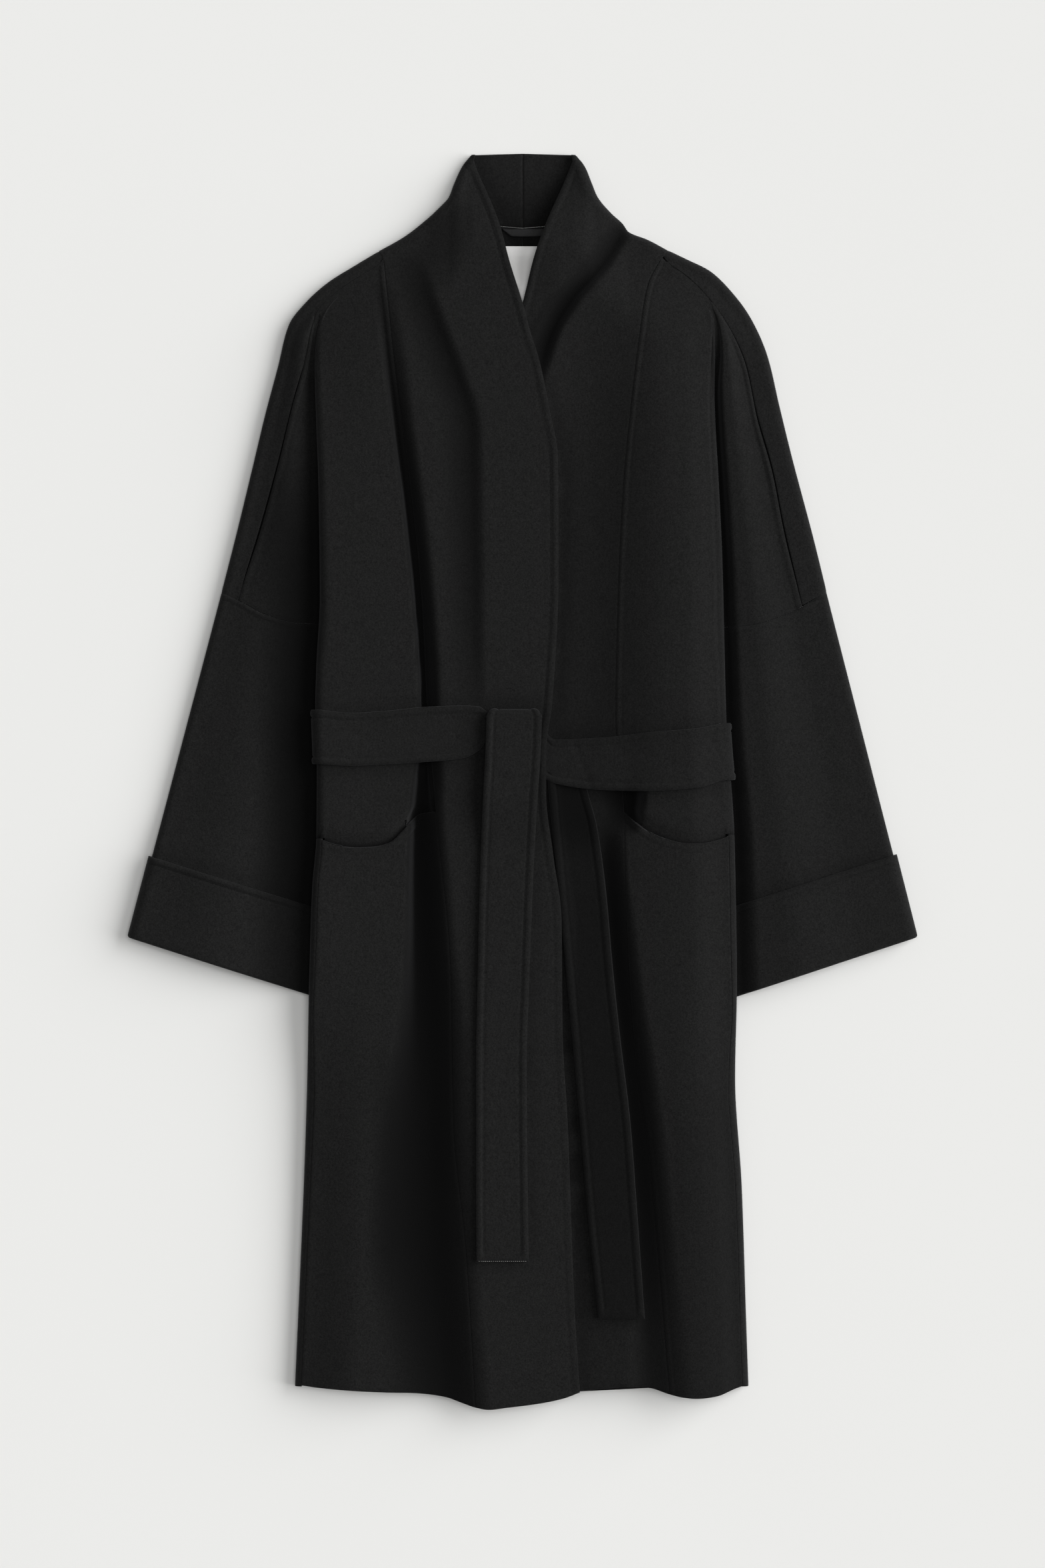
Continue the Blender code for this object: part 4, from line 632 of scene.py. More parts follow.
# Side fronts: body, roll at the side, turn under, pleat and upper arm.
sideSizes = {"upperRows": 92, "lowRows": 48, "body": 58, "roll": 14, "under": 6, "pleat": 9, "arm": 40,
             "pleatTurn": 2.2, "pocketBackingY": -86.0, "backingRows": 12, "pocketGap": 1.7,
             "armStart": 0.0025, "overarmPuff": 1.1, "foldShare": 0.45, "endFrom": 0.7,
             "dartDeep": 0.4, "dartWide": 0.9}
bulges = {-1.0: {"high": 6.0, "rise": 0.5, "from": 0.5, "to": 1.0},  # of the sleeves, by side
          1.0: {"high": 10.5, "rise": 0.12, "from": 0.28, "to": 0.74}}
bodySteps = np.linspace(0.0, 1.0, sideSizes["body"])
armSteps = np.linspace(0.0, 1.0, sideSizes["arm"] + 1)[1:]


def pocketSide(s):  # where the pocket mouth meets the body side
    return float(s["mouthY"](230.0)) + 0.1


def pocketShift(s, a, y):
    return -(cloth["thick"] + sideSizes["pocketGap"]) * smooth((s["mouthY"](a) + 16.0 - y) / 15.0)


def armBlend(y):
    return smooth((lie["armFoldTop"] - y) / (lie["armFoldTop"] - lie["armFoldFull"]))


def bulgeOf(s, t):
    size = bulges[s["sign"]]
    fall = 1.0 - smooth((t - size["from"]) / (size["to"] - size["from"]))
    return size["high"] * smooth(t / size["rise"]) * fall


def sleeveTop(s, a, y, outer):
    start = s["sideA"](y) + 4.0
    t = np.clip((a - start) / np.maximum(outer - start, 1.0), 0.0, 1.0)
    low = sleeveLow(y)
    high = cloth["thick"] / 2.0 + 2.0 * lie["armRoll"]
    return low + (high - low) * smooth(t * 1.4) + bulgeOf(s, t)


def armRows(s, levels):
    t = (levels[0] - levels) / (levels[0] - lie["underarmY"])
    start = sideSizes["armStart"]
    return s["armEdge"](start + (1.0 - start) * t), s["overarm"](0.004 + 0.996 * t), t


def armHeight(s, flat, levels, outer, reach):
    low = cloth["thick"] / 2.0 + 2.0 * lie["armRoll"]
    zBody = frontHeight(s, flat[:, 0], flat[:, 1])
    z = zBody + (sleeveTop(s, flat[:, 0], flat[:, 1], outer) - zBody) * armBlend(levels)
    return low + (z - low) * smooth(reach / 12.0)


def upperLevels(s):
    return np.linspace(float(collarRim(s)[0][0, 1]) - 1.5, lie["underarmY"], sideSizes["upperRows"])


def sideSection(s, y, over):
    seam = float(s["seamA"](y)) + cloth["seamGap"] / 2.0
    side, tuck, r, low = (float(v) for v in (s["sideA"](y), innerA(s, y), rollOf(y), sideLow(y)))
    if y < 0.0:
        r = r + float(pocketShift(s, np.array([side - r]), np.array([y]))[0]) / 2.0
    turn = sideSizes["pleatTurn"]
    a = list(seam + (side - r - seam) * bodySteps)
    z = [0.0] * len(a)
    for angle in np.linspace(0.0, np.pi, sideSizes["roll"] + 1)[1:]:
        a.append(side - r + r * np.sin(angle))
        z.append(low + r + r * np.cos(angle))
    for f in np.linspace(0.0, 1.0, sideSizes["under"] + 1)[1:]:
        a.append(side - r + (tuck + turn - side + r) * f)
        z.append(low)
    if over is not None:
        gap = (low - float(sleeveLow(y))) / 2.0
        for angle in np.linspace(0.0, np.pi, sideSizes["pleat"] + 1)[1:]:
            a.append(tuck + turn - turn * np.sin(angle))
            z.append(low - gap + gap * np.cos(angle))
        for f in armSteps:
            a.append(tuck + turn + (over[0] - tuck - turn) * f)
            z.append(0.0)
    return np.array(a), np.array(z)


def sideFront(s, name):
    upper = upperLevels(s)
    lower = np.linspace(lie["underarmY"], pocketSide(s), sideSizes["lowRows"])
    levels = np.concatenate([upper, lower[1:]])
    edge, over, t = armRows(s, upper)
    nBody, nArm = sideSizes["body"], sideSizes["arm"]
    nUnder = nBody + sideSizes["roll"] + sideSizes["under"]
    rows = []
    for j, y in enumerate(levels):
        withArm = j < len(upper)
        a, z = sideSection(s, y, over[j] if withArm else None)
        count = len(a)
        rowY = np.full(count, y)
        z[:nBody] = frontHeight(s, a[:nBody], rowY[:nBody])
        if withArm:
            one = slice(j, j + 1)
            outer = edge[j, 0] - lie["armRoll"]
            f = np.clip((a - a[nUnder - 1]) / (over[j, 0] - a[nUnder - 1]), 0.0, 1.0)
            endLine = lie["underarmY"] + (over[-1, 1] - lie["underarmY"]) * f
            sag = (s["sleeveY"](a) - endLine) * t[j] ** 2
            rowY = np.where(np.arange(count) >= nUnder, y + (over[j, 1] - y) * f + sag, rowY)
            z[-nArm:] = sleeveTop(s, a[-nArm:], rowY[-nArm:], outer)
            weight = float(armBlend(y))
            share = np.clip((float(s["sideA"](y)) - a[0]) / (over[j, 0] - a[0]), 0.45, 0.9)
            nFold = count - nBody - nArm
            inFold = sideSizes["foldShare"]
            even = np.concatenate([share * bodySteps,
                                   share + (1.0 - share) * inFold * np.arange(1, nFold + 1) / nFold,
                                   share + (1.0 - share) * (inFold + (1.0 - inFold) * armSteps)])
            flatA = a[0] + (over[j, 0] - a[0]) * even
            flatY = y + (over[j, 1] - y) * even
            flatZ = frontHeight(s, flatA, flatY)
            a = flatA + (a - flatA) * weight
            rowY = flatY + (rowY - flatY) * weight
            z = flatZ + (z - flatZ) * weight
            start = sideSizes["armStart"]
            out = outwardOf(s["armEdge"], np.array([start + (1.0 - start) * t[j]]))[0]
            reach = np.linalg.norm(over[j] - edge[j] + out * lie["armRoll"])
            end = armHeight(s, over[one], upper[one], edge[one, 0] - lie["armRoll"], np.array([reach]))
            part = np.clip((a - a[0]) / (over[j, 0] - a[0]), 0.0, 1.0)
            part[:count - nArm] *= 1.0 - weight
            z = z + (end[0] - z[-1]) * smooth((part - sideSizes["endFrom"]) / (1.0 - sideSizes["endFrom"]))
        rows.append(np.stack([a, rowY, z], axis=-1))
    main = np.array([row[:nUnder] for row in rows])
    full = np.array(rows[:len(upper)])
    fullWay = gridNormals(full, (0.0, 0.0, 1.0))
    mainWay = gridNormals(main, (0.0, 0.0, 1.0))
    mainWay[:len(upper)] = fullWay[:, :nUnder]
    inside = main[:, :nBody]
    placed, way = fieldOf(lambda p, q: frontHeight(s, p, q), inside[..., 0], inside[..., 1],
                          pocketShift(s, inside[..., 0], inside[..., 1]))
    plain = main[:, 0, 1] < lie["armFoldFull"]
    main[plain, :nBody - 1] = placed[plain, :-1]
    mainWay[plain, :nBody - 1] = way[plain, :-1]
    mainWay[:, 0] = way[:, 0]
    backingY = np.linspace(pocketSide(s), sideSizes["pocketBackingY"], sideSizes["backingRows"])
    seam = s["seamA"](backingY)[:, None] + cloth["seamGap"] / 2.0
    grid = np.stack([seam + (main[-1, nBody - 2, 0] - seam) * (bodySteps[:-1] / bodySteps[-2])[None],
                     np.repeat(backingY[:, None], nBody - 1, axis=1)], axis=-1)
    backing = fieldOf(lambda p, q: frontHeight(s, p, q), grid[..., 0], grid[..., 1],
                      pocketShift(s, grid[..., 0], grid[..., 1]))
    backing[0][0] = main[-1, :nBody - 1]
    fromSeam = main[..., 0] - s["seamA"](main[..., 1])
    relief = bandRelief(fromSeam, weltBand)
    weltEnd = columnAt(fromSeam[12:-16, :nBody - 2], weltBand["wide"])
    sewAlong(name, main[12:-16], mainWay[12:-16], weltEnd, stitch["lift"], s["sign"])
    fromDart = awayFrom(s["dart"], main[..., 0], main[..., 1]) / sideSizes["dartWide"]
    relief = relief - sideSizes["dartDeep"] * np.exp(-fromDart ** 2)
    relief[:, nBody - 2:] = 0.0
    relief = relief * smooth((upper[0] - main[:, :1, 1]) / 12.0)  # fades at the shoulder
    sleeve = full[:, nUnder - 1:]
    toSeam = np.linalg.norm(sleeve - sleeve[:, -1:], axis=-1)
    sleeveRelief = bandRelief(toSeam, {**weltBand, "puff": sideSizes["overarmPuff"]})
    sleeveRelief = sleeveRelief * smooth((upper[0] - sleeve[..., 1]) / 20.0) * armBlend(upper)[:, None]
    patches = [(main, mainWay, relief), (sleeve, fullWay[:, nUnder - 1:], sleeveRelief), backing]
    return clothPiece(name, patches, cloth["thick"], woolLook, s["sign"])


# Lower side fronts; their curved top edge is the pocket mouth.
skirtSizes = {"rows": 150, "cols": 66, "mouthRows": 14, "mouthStep": 1.3, "sideTurn": 163.0,
              "sideEndY": -586.0, "weltShare": 0.35}


def skirtPanel(s, name):
    low = float(s["hemY"](s["seamA"](-600.0)))
    start = float(s["mouthY"](s["seamA"](-29.0)))
    near = start - skirtSizes["mouthStep"] * np.arange(skirtSizes["mouthRows"])
    levels = np.concatenate([near[:-1], np.linspace(near[-1], low, skirtSizes["rows"] - len(near) + 1)])
    first = np.stack([s["seamA"](levels) + cloth["seamGap"] / 2.0, levels], axis=-1)
    top, end = float(s["mouthY"](230.0)) - 0.5, skirtSizes["sideEndY"]
    sideY = top + (end - top) * (levels - start) / (low - start)
    sideY[:len(near)] = np.minimum(sideY[:len(near)], top + near - start)
    r = rollOf(sideY)
    turn = np.radians(skirtSizes["sideTurn"])
    last = np.stack([s["sideA"](sideY) - r + r * np.sin(turn) - cloth["seamGap"], sideY], axis=-1)
    steps = np.linspace(0.0, 1.0, skirtSizes["cols"])
    topA = first[0, 0] + (last[0, 0] - first[0, 0]) * steps
    lowA = first[-1, 0] + (last[-1, 0] - first[-1, 0]) * steps
    upperEdge = np.stack([topA, s["mouthY"](topA)], axis=-1)
    bottom = np.stack([lowA, s["hemY"](lowA)], axis=-1)
    first[0], first[-1], last[0], last[-1] = upperEdge[0], bottom[0], upperEdge[-1], bottom[-1]
    grid = spread(upperEdge, bottom, first, last)
    a, y = grid[..., 0], grid[..., 1]
    points, ways = fieldOf(lambda p, q: frontHeight(s, p, q), a, y)
    fromSeam, fromMouth = a - s["seamA"](y), awayFrom(upperEdge, a, y)
    relief = bandRelief(fromSeam, weltBand) * (skirtSizes["weltShare"] * smooth((start - y) / 10.0))
    relief = relief + bandRelief(fromMouth, mouthBand)
    weltEnd = columnAt(fromSeam[14:-2, :-4], weltBand["wide"])
    sewAlong(name, points[14:-2], ways[14:-2], weltEnd, stitch["lift"], s["sign"])
    mouthEnd = columnAt(fromMouth[:30, 3:-6].T, mouthBand["wide"])
    sewAcross(name, points[:30, 3:-6], ways[:30, 3:-6], mouthEnd, stitch["lift"], s["sign"])
    relief = relief + bandRelief(y - s["hemY"](a), hemBand)
    return clothPiece(name, [(points, ways, relief)], cloth["thick"], woolLook, s["sign"])


# Back halves, flat on the floor, with their strip over the arm and their turn round the side.
backSizes = {"neckCols": 16, "wingCols": 30, "armRoll": 10, "flap": 8, "waistRows": 46, "lowRows": 125,
             "sideRoll": 12, "hemY": -590.0, "hemDip": 7.0, "hemRows": 20}


def backPanel(s, name):
    rim, out, radius = collarRim(s)
    gap = cloth["seamGap"] + 0.3
    f = np.linspace(0.0, 1.0, backSizes["neckCols"])
    centreA = frontSizes["centreGap"]
    neckA = centreA + (rim[neckStep, 0] - centreA) * f
    neckY = frontSizes["neckY"] + (rim[neckStep, 1] - frontSizes["neckY"]) * f
    neckY = neckY - frontSizes["neckDip"] * np.sin(np.pi * f) - gap
    top = np.concatenate([np.stack([neckA, neckY], axis=-1), (rim - out * gap)[neckStep - 1:9:-1]])
    cols = len(top)
    levels = upperLevels(s)
    share = (levels - lie["underarmY"]) / (levels[0] - lie["underarmY"])
    centre = np.stack([np.full(len(levels), centreA),
                       lie["underarmY"] + (top[0, 1] - lie["underarmY"]) * share], axis=-1)
    corner = np.array([float(innerA(s, lie["underarmY"])) - 0.2, lie["underarmY"]])
    split = corner + (top[-1] - corner) * share[:, None]
    steps = np.linspace(0.0, 1.0, cols)
    low = np.stack([centreA + (corner[0] - centreA) * steps, np.full(cols, lie["underarmY"])], axis=-1)
    chest = spread(top, low, centre, split)
    arm, over, t = armRows(s, levels)
    start = sideSizes["armStart"]
    armOut = outwardOf(s["armEdge"], start + (1.0 - start) * t)
    armIn = arm - armOut * lie["armRoll"]
    armIn[0] -= armOut[0] * gap
    shoulder = np.concatenate([[top[-1]], (rim - out * gap)[8:2:-1], [armIn[0]]])
    wingSteps = np.linspace(0.0, 1.0, backSizes["wingCols"])
    armTop = np.stack([np.interp(wingSteps, chordOf(shoulder), shoulder[:, k]) for k in (0, 1)], axis=-1)
    armA = corner[0] + (armIn[-1, 0] - corner[0]) * wingSteps
    armLow = np.stack([armA, s["sleeveY"](armA)], axis=-1)
    armLow[0] = corner
    armIn[-1] = armLow[-1]
    wing = spread(armTop, armLow, split, armIn)

    def laid(grid):
        points, way = fieldOf(lambda p, q: backHeight(s, p, q), grid[..., 0], grid[..., 1])
        return points, -way

    patches = [laid(chest), laid(wing)]
    begin = patches[1][0][:, -1]
    strip = [begin]
    ways = [np.tile((0.0, 0.0, -1.0), (len(levels), 1))]
    for turn in np.linspace(0.0, np.pi, backSizes["armRoll"] + 1)[1:]:
        flat = armIn + armOut * (lie["armRoll"] * np.sin(turn))
        z = begin[:, 2] + lie["armRoll"] * (1.0 - np.cos(turn))
        strip.append(np.concatenate([flat, z[:, None]], axis=-1))
        down = np.full((len(levels), 1), -np.cos(turn))
        ways.append(np.concatenate([armOut * np.sin(turn), down], axis=-1))
    rollEnd = strip[-1]
    aim = over - rollEnd[:, :2]
    length = np.linalg.norm(aim, axis=1, keepdims=True)
    seamGap = cloth["seamGap"] * (0.5 + 2.0 * (1.0 - smooth(t / 0.1)))
    stop = over - aim / np.maximum(length, 0.1) * np.minimum(seamGap[:, None], 0.7 * length)
    for part in np.linspace(0.0, 1.0, backSizes["flap"] + 1)[1:]:
        flat = rollEnd[:, :2] + (stop - rollEnd[:, :2]) * part
        z = armHeight(s, flat, levels, arm[:, 0] - lie["armRoll"], length[:, 0] * part)
        strip.append(np.concatenate([flat, z[:, None]], axis=-1))
        ways.append(np.tile((0.0, 0.0, 1.0), (len(levels), 1)))
    strip, ways = np.array(strip), np.array(ways)
    ways[backSizes["armRoll"] + 1:] = gridNormals(strip[backSizes["armRoll"]:], (0.0, 0.0, 1.0))[1:]
    patches.append((strip, ways))
    sideTop = pocketSide(s) - 0.5
    waist = backSizes["waistRows"]
    lowLevels = np.concatenate([np.linspace(lie["underarmY"], sideTop, waist),
                                np.linspace(sideTop, backSizes["hemY"], backSizes["lowRows"])[1:]])
    edge = innerA(s, lowLevels) - 0.2
    body = np.zeros((len(lowLevels), cols, 2))
    body[..., 0] = centreA + (edge[:, None] - centreA) * steps[None]
    body[..., 1] = lowLevels[:, None]
    body[0] = chest[-1]
    hem = body[-backSizes["hemRows"]:]
    dip = backSizes["hemDip"] * (smooth(hem[..., 0] / 200.0) - 1.0)
    hem[..., 1] += dip * np.linspace(0.0, 1.0, len(hem))[:, None]
    patches.append(laid(body))
    inner = patches[-1][0][waist - 1:, -1]
    sideY = lowLevels[waist - 1:]
    r = rollOf(sideY)
    edgeA = s["sideA"](sideY) - r
    lowZ = sideLow(sideY)
    sideRows, sideWays = [inner], [np.tile((0.0, 0.0, -1.0), (len(sideY), 1))]
    for part in (0.33, 0.66, 1.0):
        sideRows.append(np.stack([inner[:, 0] + (edgeA - inner[:, 0]) * part, inner[:, 1], lowZ], axis=-1))
        sideWays.append(sideWays[0])
    for turn in np.linspace(0.0, np.radians(skirtSizes["sideTurn"]), backSizes["sideRoll"])[1:]:
        rolled = [edgeA + r * np.sin(turn), inner[:, 1], lowZ + r - r * np.cos(turn)]
        sideRows.append(np.stack(rolled, axis=-1))
        sideWays.append(np.tile((np.sin(turn), 0.0, -np.cos(turn)), (len(sideY), 1)))
    patches.append((np.array(sideRows), np.array(sideWays)))
    return clothPiece(name, patches, cloth["thick"], woolLook, s["sign"])


# Sleeves and turn-back cuffs, flattened tubes.
sleeveSizes = {"bottom": 22, "outer": 12, "top": 84, "inner": 9, "rows": 83, "gap": 0.25, "cuffStep": 3.5,
               "weltRows": 14, "weltPart": 0.045, "cuffReturn": 12.0, "cuffRows": 44, "cuffTurn": 8,
               "inset": 0.9, "cuffRiseFrom": 0.60, "cuffRise": 0.16, "leastOpen": 3.6, "closesFrom": 0.88}
cuffBand = {"wide": 6.6, "puff": 1.15, "groove": 0.9, "line": 1.1}


def armSeam(s, a):
    out = outwardOf(s["armEdge"], np.array([1.0]))[0]
    start = s["armEnd"][0] - out[0] * lie["armRoll"]
    return s["sleeveY"](np.minimum(a, start)) + np.maximum(a - start, 0.0) * out[1] / out[0]


def sleeveRing(s, v, spreadOut):
    step, gap = sleeveSizes["cuffStep"], sleeveSizes["gap"]
    topIn = np.array([float(innerA(s, lie["underarmY"])) + sleeveSizes["inset"], lie["underarmY"] - gap])
    topOut = s["armEnd"] - (0.0, gap)
    mouthOut = s["cuffEnd"][0] - np.array([step + cloth["thick"] / 2.0, 0.0])
    mouthY = s["cuffEnd"][1][1]
    mouthIn = np.array([float(innerA(s, mouthY)) + sleeveSizes["inset"] + step, mouthY])
    outer = topOut + (mouthOut - topOut) * v
    inner = topIn + (mouthIn - topIn) * v
    span = outer - inner
    width = np.linalg.norm(span)
    span = span / width
    base = cloth["thick"] / 2.0 + step * smooth((v - sleeveSizes["cuffRiseFrom"]) / sleeveSizes["cuffRise"])
    midY = 0.5 * (outer[1] + inner[1])
    low = max(float(sleeveLow(midY)), base + sleeveSizes["leastOpen"])
    ri, ro = (low - base) / 2.0, lie["armRoll"]
    flatQ = np.linspace(ri, width - ro, sleeveSizes["bottom"])
    outTurn = np.linspace(0.0, np.pi, sleeveSizes["outer"] + 2)[1:-1]
    inTurn = np.linspace(0.0, np.pi, sleeveSizes["inner"] + 2)[1:-1]
    knee = np.clip((float(s["sideA"](midY)) + 5.0 - inner[0]) / max(span[0], 0.2), ri, width - ro - 20.0)
    topQ = np.linspace(width - ro, ri, sleeveSizes["top"])
    t = np.clip((topQ - knee) / (width - ro - knee), 0.0, 1.0)
    topZ = low + (base + 2.0 * ro - low) * smooth(t * 1.4) + bulgeOf(s, t)
    slope = np.gradient(topZ, topQ)
    steep = np.sqrt(1.0 + slope * slope)
    q = np.concatenate([flatQ, width - ro + ro * np.sin(outTurn), topQ, ri - ri * np.sin(inTurn)])
    z = np.concatenate([np.full(len(flatQ), base), base + ro - ro * np.cos(outTurn), topZ,
                        base + ri + ri * np.cos(inTurn)])
    nq = np.concatenate([0.0 * flatQ, np.sin(outTurn), -slope / steep, -np.sin(inTurn)])
    nz = np.concatenate([0.0 * flatQ - 1.0, -np.cos(outTurn), 1.0 / steep, np.cos(inTurn)])
    q = q + nq * spreadOut
    z = z + nz * spreadOut
    flat = inner + span * q[:, None]
    start = topIn + (topOut - topIn) * (q / width)[:, None]
    closes = 0.9 * smooth((q / width - sleeveSizes["closesFrom"]) / 0.1)  # no gap at the outer edge
    sag = (armSeam(s, start[:, 0]) - gap + closes - start[:, 1]) * (1.0 - smooth(v / 0.5))
    flat[:, 1] = flat[:, 1] + sag
    points = np.concatenate([flat, z[:, None]], axis=-1)
    way = np.concatenate([span * nq[:, None], nz[:, None]], axis=-1)
    return np.concatenate([points, points[:1]]), np.concatenate([way, way[:1]])


def sleeveLength(s):
    return float(np.linalg.norm(s["cuffEnd"][0] - s["armEnd"]))


def sleevePiece(s, name):
    length = sleeveLength(s)
    end = 1.0 - (sleeveSizes["cuffReturn"] + cloth["seamGap"]) / length
    welt = sleeveSizes["weltPart"]
    v = np.concatenate([np.linspace(0.0, welt, sleeveSizes["weltRows"])[:-1],
                        np.linspace(welt, end, sleeveSizes["rows"])])
    rings = [sleeveRing(s, f, 0.0) for f in v]
    points, ways = np.array([r[0] for r in rings]), np.array([r[1] for r in rings])
    seen = ways[0, :, 2] > 0.4
    row = np.full(int(seen.sum()), np.interp(weltBand["wide"], v * length, np.arange(len(v))))
    sewAcross(name, points[:, seen], ways[:, seen], row, stitch["lift"], s["sign"])
    relief = bandRelief(v * length, weltBand)[:, None] * smooth((ways[..., 2] - 0.1) / 0.6)
    return clothPiece(name, [(points, ways, relief)], cloth["thick"], woolLook, s["sign"])


def cuffPiece(s, name):
    length = sleeveLength(s)
    topV = 1.0 - np.linalg.norm(s["cuffEnd"][0] - s["cuffTop"][0]) / length
    step = sleeveSizes["cuffStep"]
    half = step / 2.0
    rows, ways, fromTop = [], [], []
    near = np.linspace(0.0, 12.0, 13) / length
    for v in np.concatenate([topV + near[:-1], np.linspace(topV + near[-1], 1.0 - half / length,
                                                           sleeveSizes["cuffRows"] - 12)]):
        ring, way = sleeveRing(s, v, step)
        rows.append(ring)
        ways.append(way)
        fromTop.append((v - topV) * length)
    axis = s["cuffEnd"][0] - s["armEnd"]
    axis = np.array([axis[0], axis[1], 0.0]) / np.linalg.norm(axis)
    for turn in np.linspace(0.0, np.pi, sleeveSizes["cuffTurn"] + 1)[1:-1]:
        v = 1.0 - half / length + half * np.sin(turn) / length
        ring, way = sleeveRing(s, v, half + half * np.cos(turn))
        rows.append(ring)
        ways.append(way * np.cos(turn) + axis * np.sin(turn))
        fromTop.append(1e3)
    for v in np.linspace(1.0 - half / length, 1.0 - sleeveSizes["cuffReturn"] / length, 5):
        ring, way = sleeveRing(s, v, 0.0)
        rows.append(ring)
        ways.append(-way)
        fromTop.append(1e3)
    points, ways = np.array(rows), np.array(ways)
    seen = ways[0, :, 2] > 0.4
    row = np.full(int(seen.sum()), np.interp(cuffBand["wide"], fromTop[:20], np.arange(20)))
    sewAcross(name, points[:, seen], ways[:, seen], row, stitch["lift"], s["sign"])
    relief = bandRelief(np.array(fromTop), cuffBand)[:, None] * smooth((ways[..., 2] - 0.1) / 0.6)
    return clothPiece(name, [(points, ways, relief)], cloth["thick"], woolLook, s["sign"])


# The belt: edges of the front stretches along x, edges of the hanging ends along y.
beltRight = {"x": (-30, -36, -42, -58, -98, -132, -168, -202, -215),
             "top": (64, 69, 73, 74, 72.5, 69, 67, 70, 70),
             "bottom": (42, 38, 31, 23, 19, 17, 15.5, 17, 17), "knotLayer": 0.0,
             "creases": (((66, 45), (52, 36), (37, 34)), ((72, 65), (58, 58), (38, 47)),
                         ((88, 28), (70, 31)), ((200, 44), (176, 47), (152, 44)), ((150, 52), (136, 57)))}
beltLeft = {"x": (14, 20, 31, 77, 123, 170, 201, 215), "top": (52, 50, 41, 43, 48, 52, 57, 57),
            "bottom": (6, 4, -1.6, -8, -9, -6, 1.6, 1.6), "knotLayer": 3.85,
            "creases": (((50, 40), (60, 12), (67, -4)), ((176, 46), (187, 33), (199, 20)),
                        ((180, 10), (192, 16), (202, 34)), ((120, 24), (146, 21)))}
endOver = {"y": (69, 35, -26, -103, -195, -273, -395, -467),
           "lowX": (-35, -36, -39, -42, -44, -45.5, -45.5, -45),
           "highX": (19, 18, 14, 10, 6.5, 4, 5, 6), "turnY": 64.0, "hiddenY": 40.0, "rows": 150}
endUnder = {"y": (22, -2, -42, -103, -180, -242, -334, -427, -523),
            "lowX": (22, 25, 28.6, 34.5, 42, 48, 56, 64, 74),
            "highX": (60, 62, 72, 80.6, 87.5, 94, 105, 112, 119), "rows": 170}
crease = {"deep": (0.55, 0.35, 0.45), "wide": 3.6}
beltCols, beltRows = 37, 120
beltSteps = np.linspace(0.0, 1.0, beltCols)


def beltRelief(grid, fromEnd=None):
    wide = np.linalg.norm(grid[:, -1] - grid[:, 0], axis=-1)[:, None]
    d = np.minimum(beltSteps, 1.0 - beltSteps)[None] * wide
    if fromEnd is not None:
        d = np.minimum(d, fromEnd[:, None])
    return bandRelief(d, edgeBand)


def sewBelt(name, grid, ways, sign=1.0):
    inset = edgeBand["wide"] / np.linalg.norm(grid[:, -1] - grid[:, 0], axis=-1) * (beltCols - 1.0)
    for columns in (inset, beltCols - 1.0 - inset):
        sewAlong(name, grid, ways, columns, stitch["beltLift"], sign)


def beltStretch(s, name, table):
    sign = s["sign"]
    top, bottom = fit(table["x"], table["top"]), fit(table["x"], table["bottom"])
    begin = sign * table["x"][0]
    sideX = sign * belt["sideX"]
    sideY = np.linspace(float(bottom(sideX)), float(top(sideX)), beltCols)
    r = rollOf(sideY)
    side = s["sideA"](sideY)
    rows = []
    for f in np.linspace(0.0, 1.0, beltRows):
        a = begin + (side - r - begin) * f
        y = bottom(sign * a) + (top(sign * a) - bottom(sign * a)) * beltSteps
        knot = table["knotLayer"] * (1.0 - smooth((a - belt["knotTo"]) / belt["knotRun"]))
        rows.append(np.stack([a, y, plainHeight(s, a, y) + beltOff + knot], axis=-1))
    big = r + beltOff
    centre = sideLow(sideY) + r
    for turn in np.linspace(0.0, np.pi, 17)[1:]:
        rows.append(np.stack([side - r + big * np.sin(turn), sideY, centre + big * np.cos(turn)], axis=-1))
    end = innerA(s, sideY) + belt["underEnd"]
    for f in np.linspace(0.0, 1.0, 9)[1:]:
        rows.append(np.stack([side - r + (end - side + r) * f, sideY, sideLow(sideY) - beltOff], axis=-1))
    grid = np.array(rows)
    relief = beltRelief(grid)
    for k, line in enumerate(table["creases"]):  # soft creases where the belt is pulled
        away = awayFrom(line, grid[:beltRows, :, 0], grid[:beltRows, :, 1])
        relief[:beltRows] -= crease["deep"][k % 3] * np.exp(-(away / crease["wide"]) ** 2)
    ways = gridNormals(grid, (0.0, 0.0, 1.0))
    sewBelt(name, grid[:beltRows + 10], ways[:beltRows + 10], sign)
    return clothPiece(name, [(grid, ways, relief)], belt["thick"], woolLook, sign)


def beltBack(name):
    rows = []
    for s, table in ((right, beltRight), (left, beltLeft)):
        top, bottom = fit(table["x"], table["top"]), fit(table["x"], table["bottom"])
        sideX = s["sign"] * belt["sideX"]
        edgeY = np.linspace(float(bottom(sideX)), float(top(sideX)), beltCols)
        end = innerA(s, edgeY) + belt["underEnd"] - cloth["seamGap"]
        half = []
        for f in np.linspace(0.0, 1.0, 64)[1:]:
            a = end * f
            flatY = backBelt["y"] + backBelt["slope"] * s["sign"] * a + (beltSteps - 0.5) * backBelt["wide"]
            y = flatY + (edgeY - flatY) * smooth((f - 0.4) / 0.6)
            z = np.maximum(backHeight(s, a, y) - beltOff + 0.35, belt["thick"] / 2.0)
            half.append(np.stack([s["sign"] * a, y, z], axis=-1))
        rows = half[::-1] if s is right else rows + half
    grid = np.array(rows)
    return clothPiece(name, [(grid, gridNormals(grid, (0.0, 0.0, -1.0)))], belt["thick"], woolLook)


